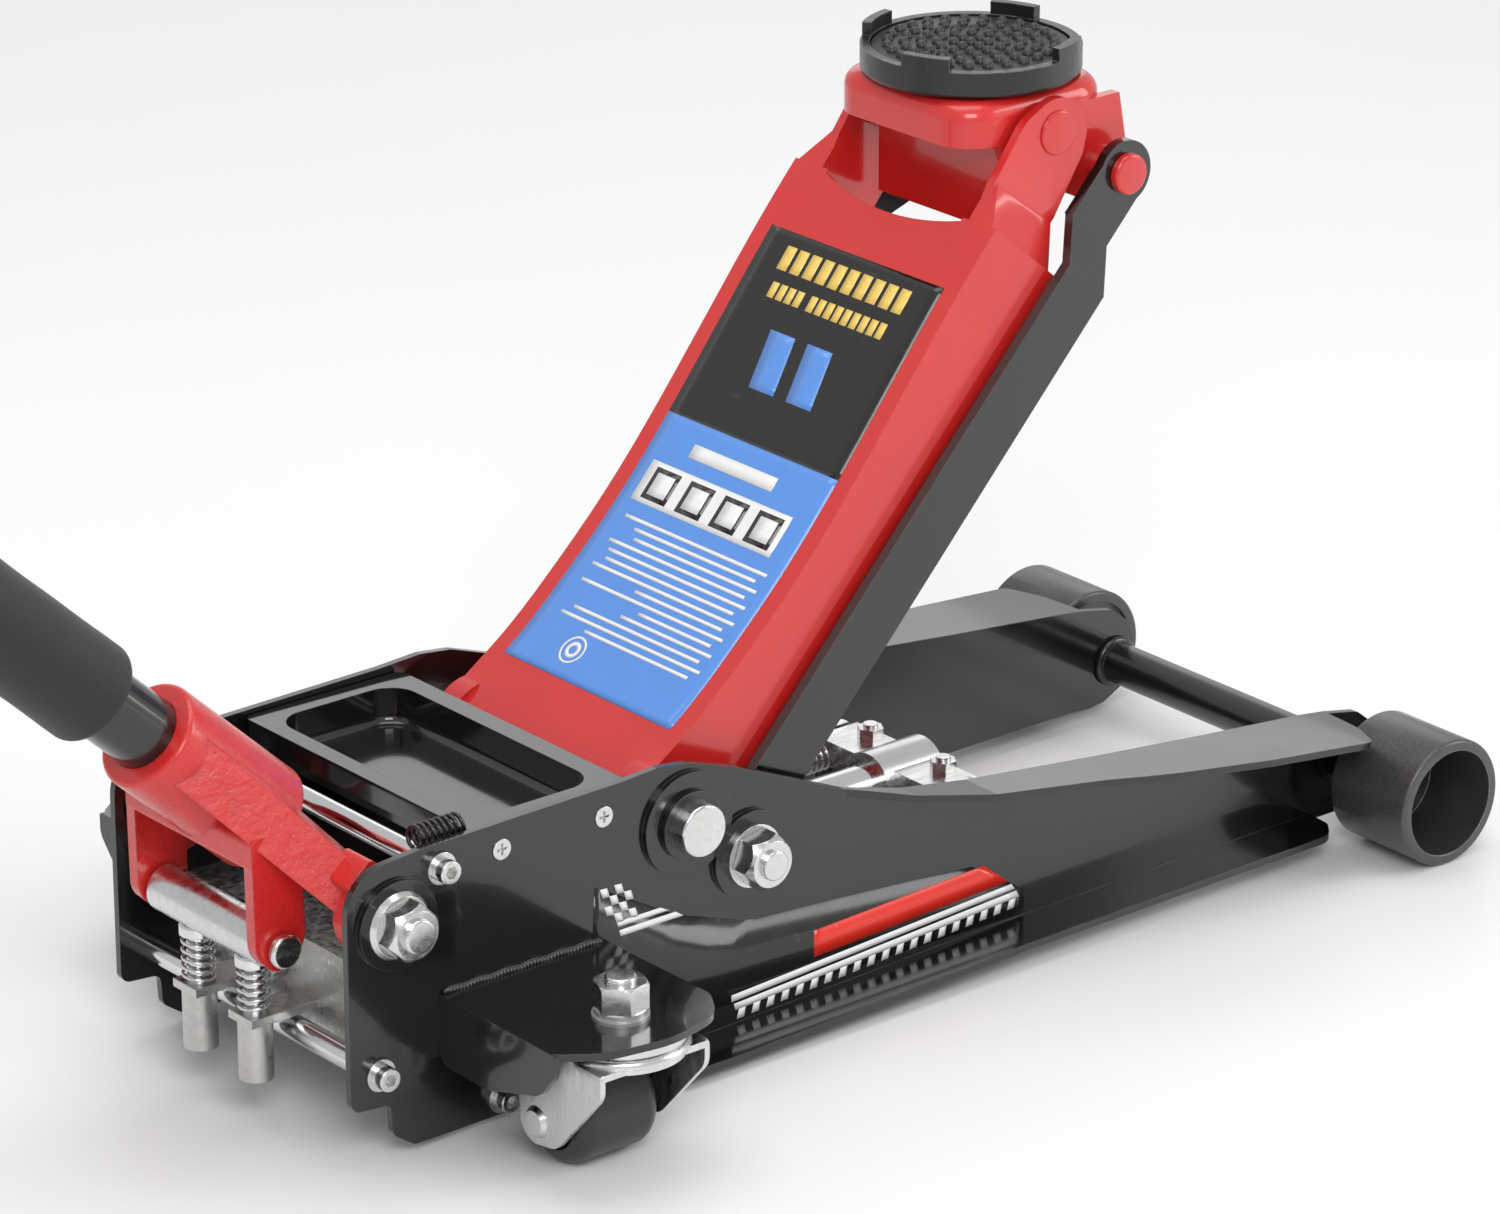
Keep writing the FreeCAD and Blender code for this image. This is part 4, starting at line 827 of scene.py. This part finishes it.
class JACK_OT_arm_film(bpy.types.Operator):
    """Label on the lift arm: black and blue fields with plain bars, lines and tiles"""
    bl_idname = "jack.arm_film"
    bl_label = "Lift arm label"

    def execute(self, context):
        c, z = colours(), sizes()
        half = 69.0
        foot, split, head = 0.108, 0.560, 0.888
        lift = z.film_lift
        black = film("label_black", c.film_black, 0.2)
        blue = film("label_blue", c.film_blue, 0.24)
        white = film("label_white", c.film_white, 0.26)
        yellow = film("label_yellow", c.film_yellow, 0.26)
        arm_film([arm_patch(split, head, -half, half, lift)], "arm_label_upper", black, lift)
        arm_film([arm_patch(foot, split, -half, half, lift)], "arm_label_lower", blue, lift)
        # each row: lower and upper station, first and last width, step, bar width
        rows = ((0.826, 0.866, -50, 48, 10.2, 7.6), (0.780, 0.806, -46, 10, 6.9, 5.2),
                (0.780, 0.806, 20, 44, 6.9, 5.2))
        bars = [arm_patch(low, high, y, y + wide, lift)
                for low, high, start, end, pitch, wide in rows
                for y in np.arange(start, end, pitch)]
        arm_film(bars, "arm_label_bars", yellow, 2 * lift)
        mark = [arm_patch(0.640, 0.735, y, y + 20, lift, 6) for y in (-26, 4)]
        arm_film(mark, "arm_label_blocks", film("label_mark", c.film_blue, 0.24), 2 * lift)
        lines = [arm_patch(0.412, 0.482, -54, 60, lift), arm_patch(0.505, 0.528, -30, 38, lift)]
        first, pitch, thin, indent = 0.385, 0.0148, 0.0028, 5
        right_ends = (56, 44, 40, 56, 52, 50, 56, 16, 56, 4, 14, 48, 54, 30)
        for k, right_end in enumerate(right_ends):
            s = first - pitch * k
            left_end = -60 + (indent if k % 2 else 0)
            lines.append(arm_patch(s - thin, s + thin, left_end, right_end, lift))
        for radius, width in ((8.5, 1.3), (5.0, 2.4)):
            lines.append(arm_ring(0.158, 28, radius, width, lift))
        arm_film(lines, "arm_label_lines", white, 2 * lift)
        lefts = range(-50, 62, 28)
        tiles = [arm_patch(0.420, 0.474, y, y + 20, lift) for y in lefts]
        fills = [arm_patch(0.428, 0.466, y + 3, y + 17, lift) for y in lefts]
        arm_film(tiles, "arm_label_tiles", black, 3 * lift)
        arm_film(fills, "arm_label_tile_fills", white, 4 * lift)
        return {"FINISHED"}


# ------------------------------------------------------------------ studio
def aim(thing, target):
    away = thing.location - Vector(target)
    thing.rotation_euler = away.to_track_quat("Z", "Y").to_euler()


def softbox(name, at, target, size, power, tint=(1.0, 1.0, 1.0)):
    light = bpy.data.lights.new(name, "AREA")
    light.shape, light.size, light.size_y = "RECTANGLE", size[0], size[1]
    light.energy, light.color = power, tint
    thing = bpy.data.objects.new(name, light)
    thing.location = at
    bpy.context.scene.collection.objects.link(thing)
    aim(thing, target)
    return thing


class JACK_OT_stage(bpy.types.Operator):
    """Pale floor, soft studio lights and the camera"""
    bl_idname = "jack.stage"
    bl_label = "Studio"

    def execute(self, context):
        scene = context.scene
        side = np.linspace(-7.0, 7.0, 29)
        x, y = np.meshgrid(side, side, indexing="ij")
        points = np.stack([x, y, 0 * x - 0.0002], -1).reshape(-1, 3)
        floor = build("studio_floor", points, grid_faces(29, 29))
        f = Finish("studio_floor_paint")
        cloud = f.noise(1.2, 2)
        f.set(Base_Color=f.mix(cloud, (0.86, 0.86, 0.86, 1), (0.90, 0.90, 0.90, 1)))
        f.set(Roughness=f.span(f.noise(6.0, 3), 0.3, 0.7, 0.42, 0.52))
        floor.data.materials.append(f.mat)
        world = bpy.data.worlds.new("studio_air")
        world.use_nodes = True
        world.node_tree.nodes["Background"].inputs[0].default_value = (1.0, 1.0, 1.0, 1.0)
        world.node_tree.nodes["Background"].inputs[1].default_value = 0.62
        scene.world = world
        scene.view_settings.view_transform = "Standard"
        centre = (0.15, 0.0, 0.2)
        softbox("key_box", (-1.4, -2.6, 2.6), centre, (1.8, 1.4), 55.0)
        softbox("top_box", (0.3, 0.3, 3.2), centre, (2.6, 2.0), 34.0)
        softbox("side_box", (2.6, -1.6, 1.2), centre, (1.0, 1.8), 22.0)
        softbox("rim_box", (2.3, 2.7, 1.5), centre, (2.4, 1.4), 7.0)
        lens = bpy.data.cameras.new("studio_camera")
        lens.sensor_fit, lens.sensor_width, lens.lens = "HORIZONTAL", 36.0, 154.92
        lens.clip_end = 60.0
        camera = bpy.data.objects.new("studio_camera", lens)
        camera.location = place(-1664.98, -2428.04, 1414.49)
        camera.rotation_euler = (math.radians(68.67), 0.0, math.radians(-39.5))
        scene.collection.objects.link(camera)
        scene.camera = camera
        return {"FINISHED"}


# ------------------------------------------------------------------ add-on
OPERATORS = (JACK_OT_steel, JACK_OT_sleeve, JACK_OT_pad, JACK_OT_welds, JACK_OT_side_film,
             JACK_OT_arm_film, JACK_OT_stage)


class JACK_PT_sidebar(bpy.types.Panel):
    """Floor jack tools in the 3D view's sidebar"""
    bl_idname = "JACK_PT_sidebar"
    bl_label = "Floor Jack"
    bl_space_type = "VIEW_3D"
    bl_region_type = "UI"
    bl_category = "Floor Jack"

    def draw(self, context):
        for operator in OPERATORS:
            self.layout.operator(operator.bl_idname)
        for group in (context.scene.jack_sizes, context.scene.jack_colours):
            for name in group.__annotations__:
                self.layout.prop(group, name)


CLASSES = (JackSizes, JackColours) + OPERATORS + (JACK_PT_sidebar,)


def register():
    for cls in CLASSES:
        bpy.utils.register_class(cls)
    bpy.types.Scene.jack_sizes = bpy.props.PointerProperty(type=JackSizes)
    bpy.types.Scene.jack_colours = bpy.props.PointerProperty(type=JackColours)


def unregister():
    del bpy.types.Scene.jack_colours
    del bpy.types.Scene.jack_sizes
    for cls in reversed(CLASSES):
        bpy.utils.unregister_class(cls)


def main():
    register()
    for operator in OPERATORS:
        group, name = operator.bl_idname.split(".")
        getattr(getattr(bpy.ops, group), name)()


if __name__ == "__main__":
    main()
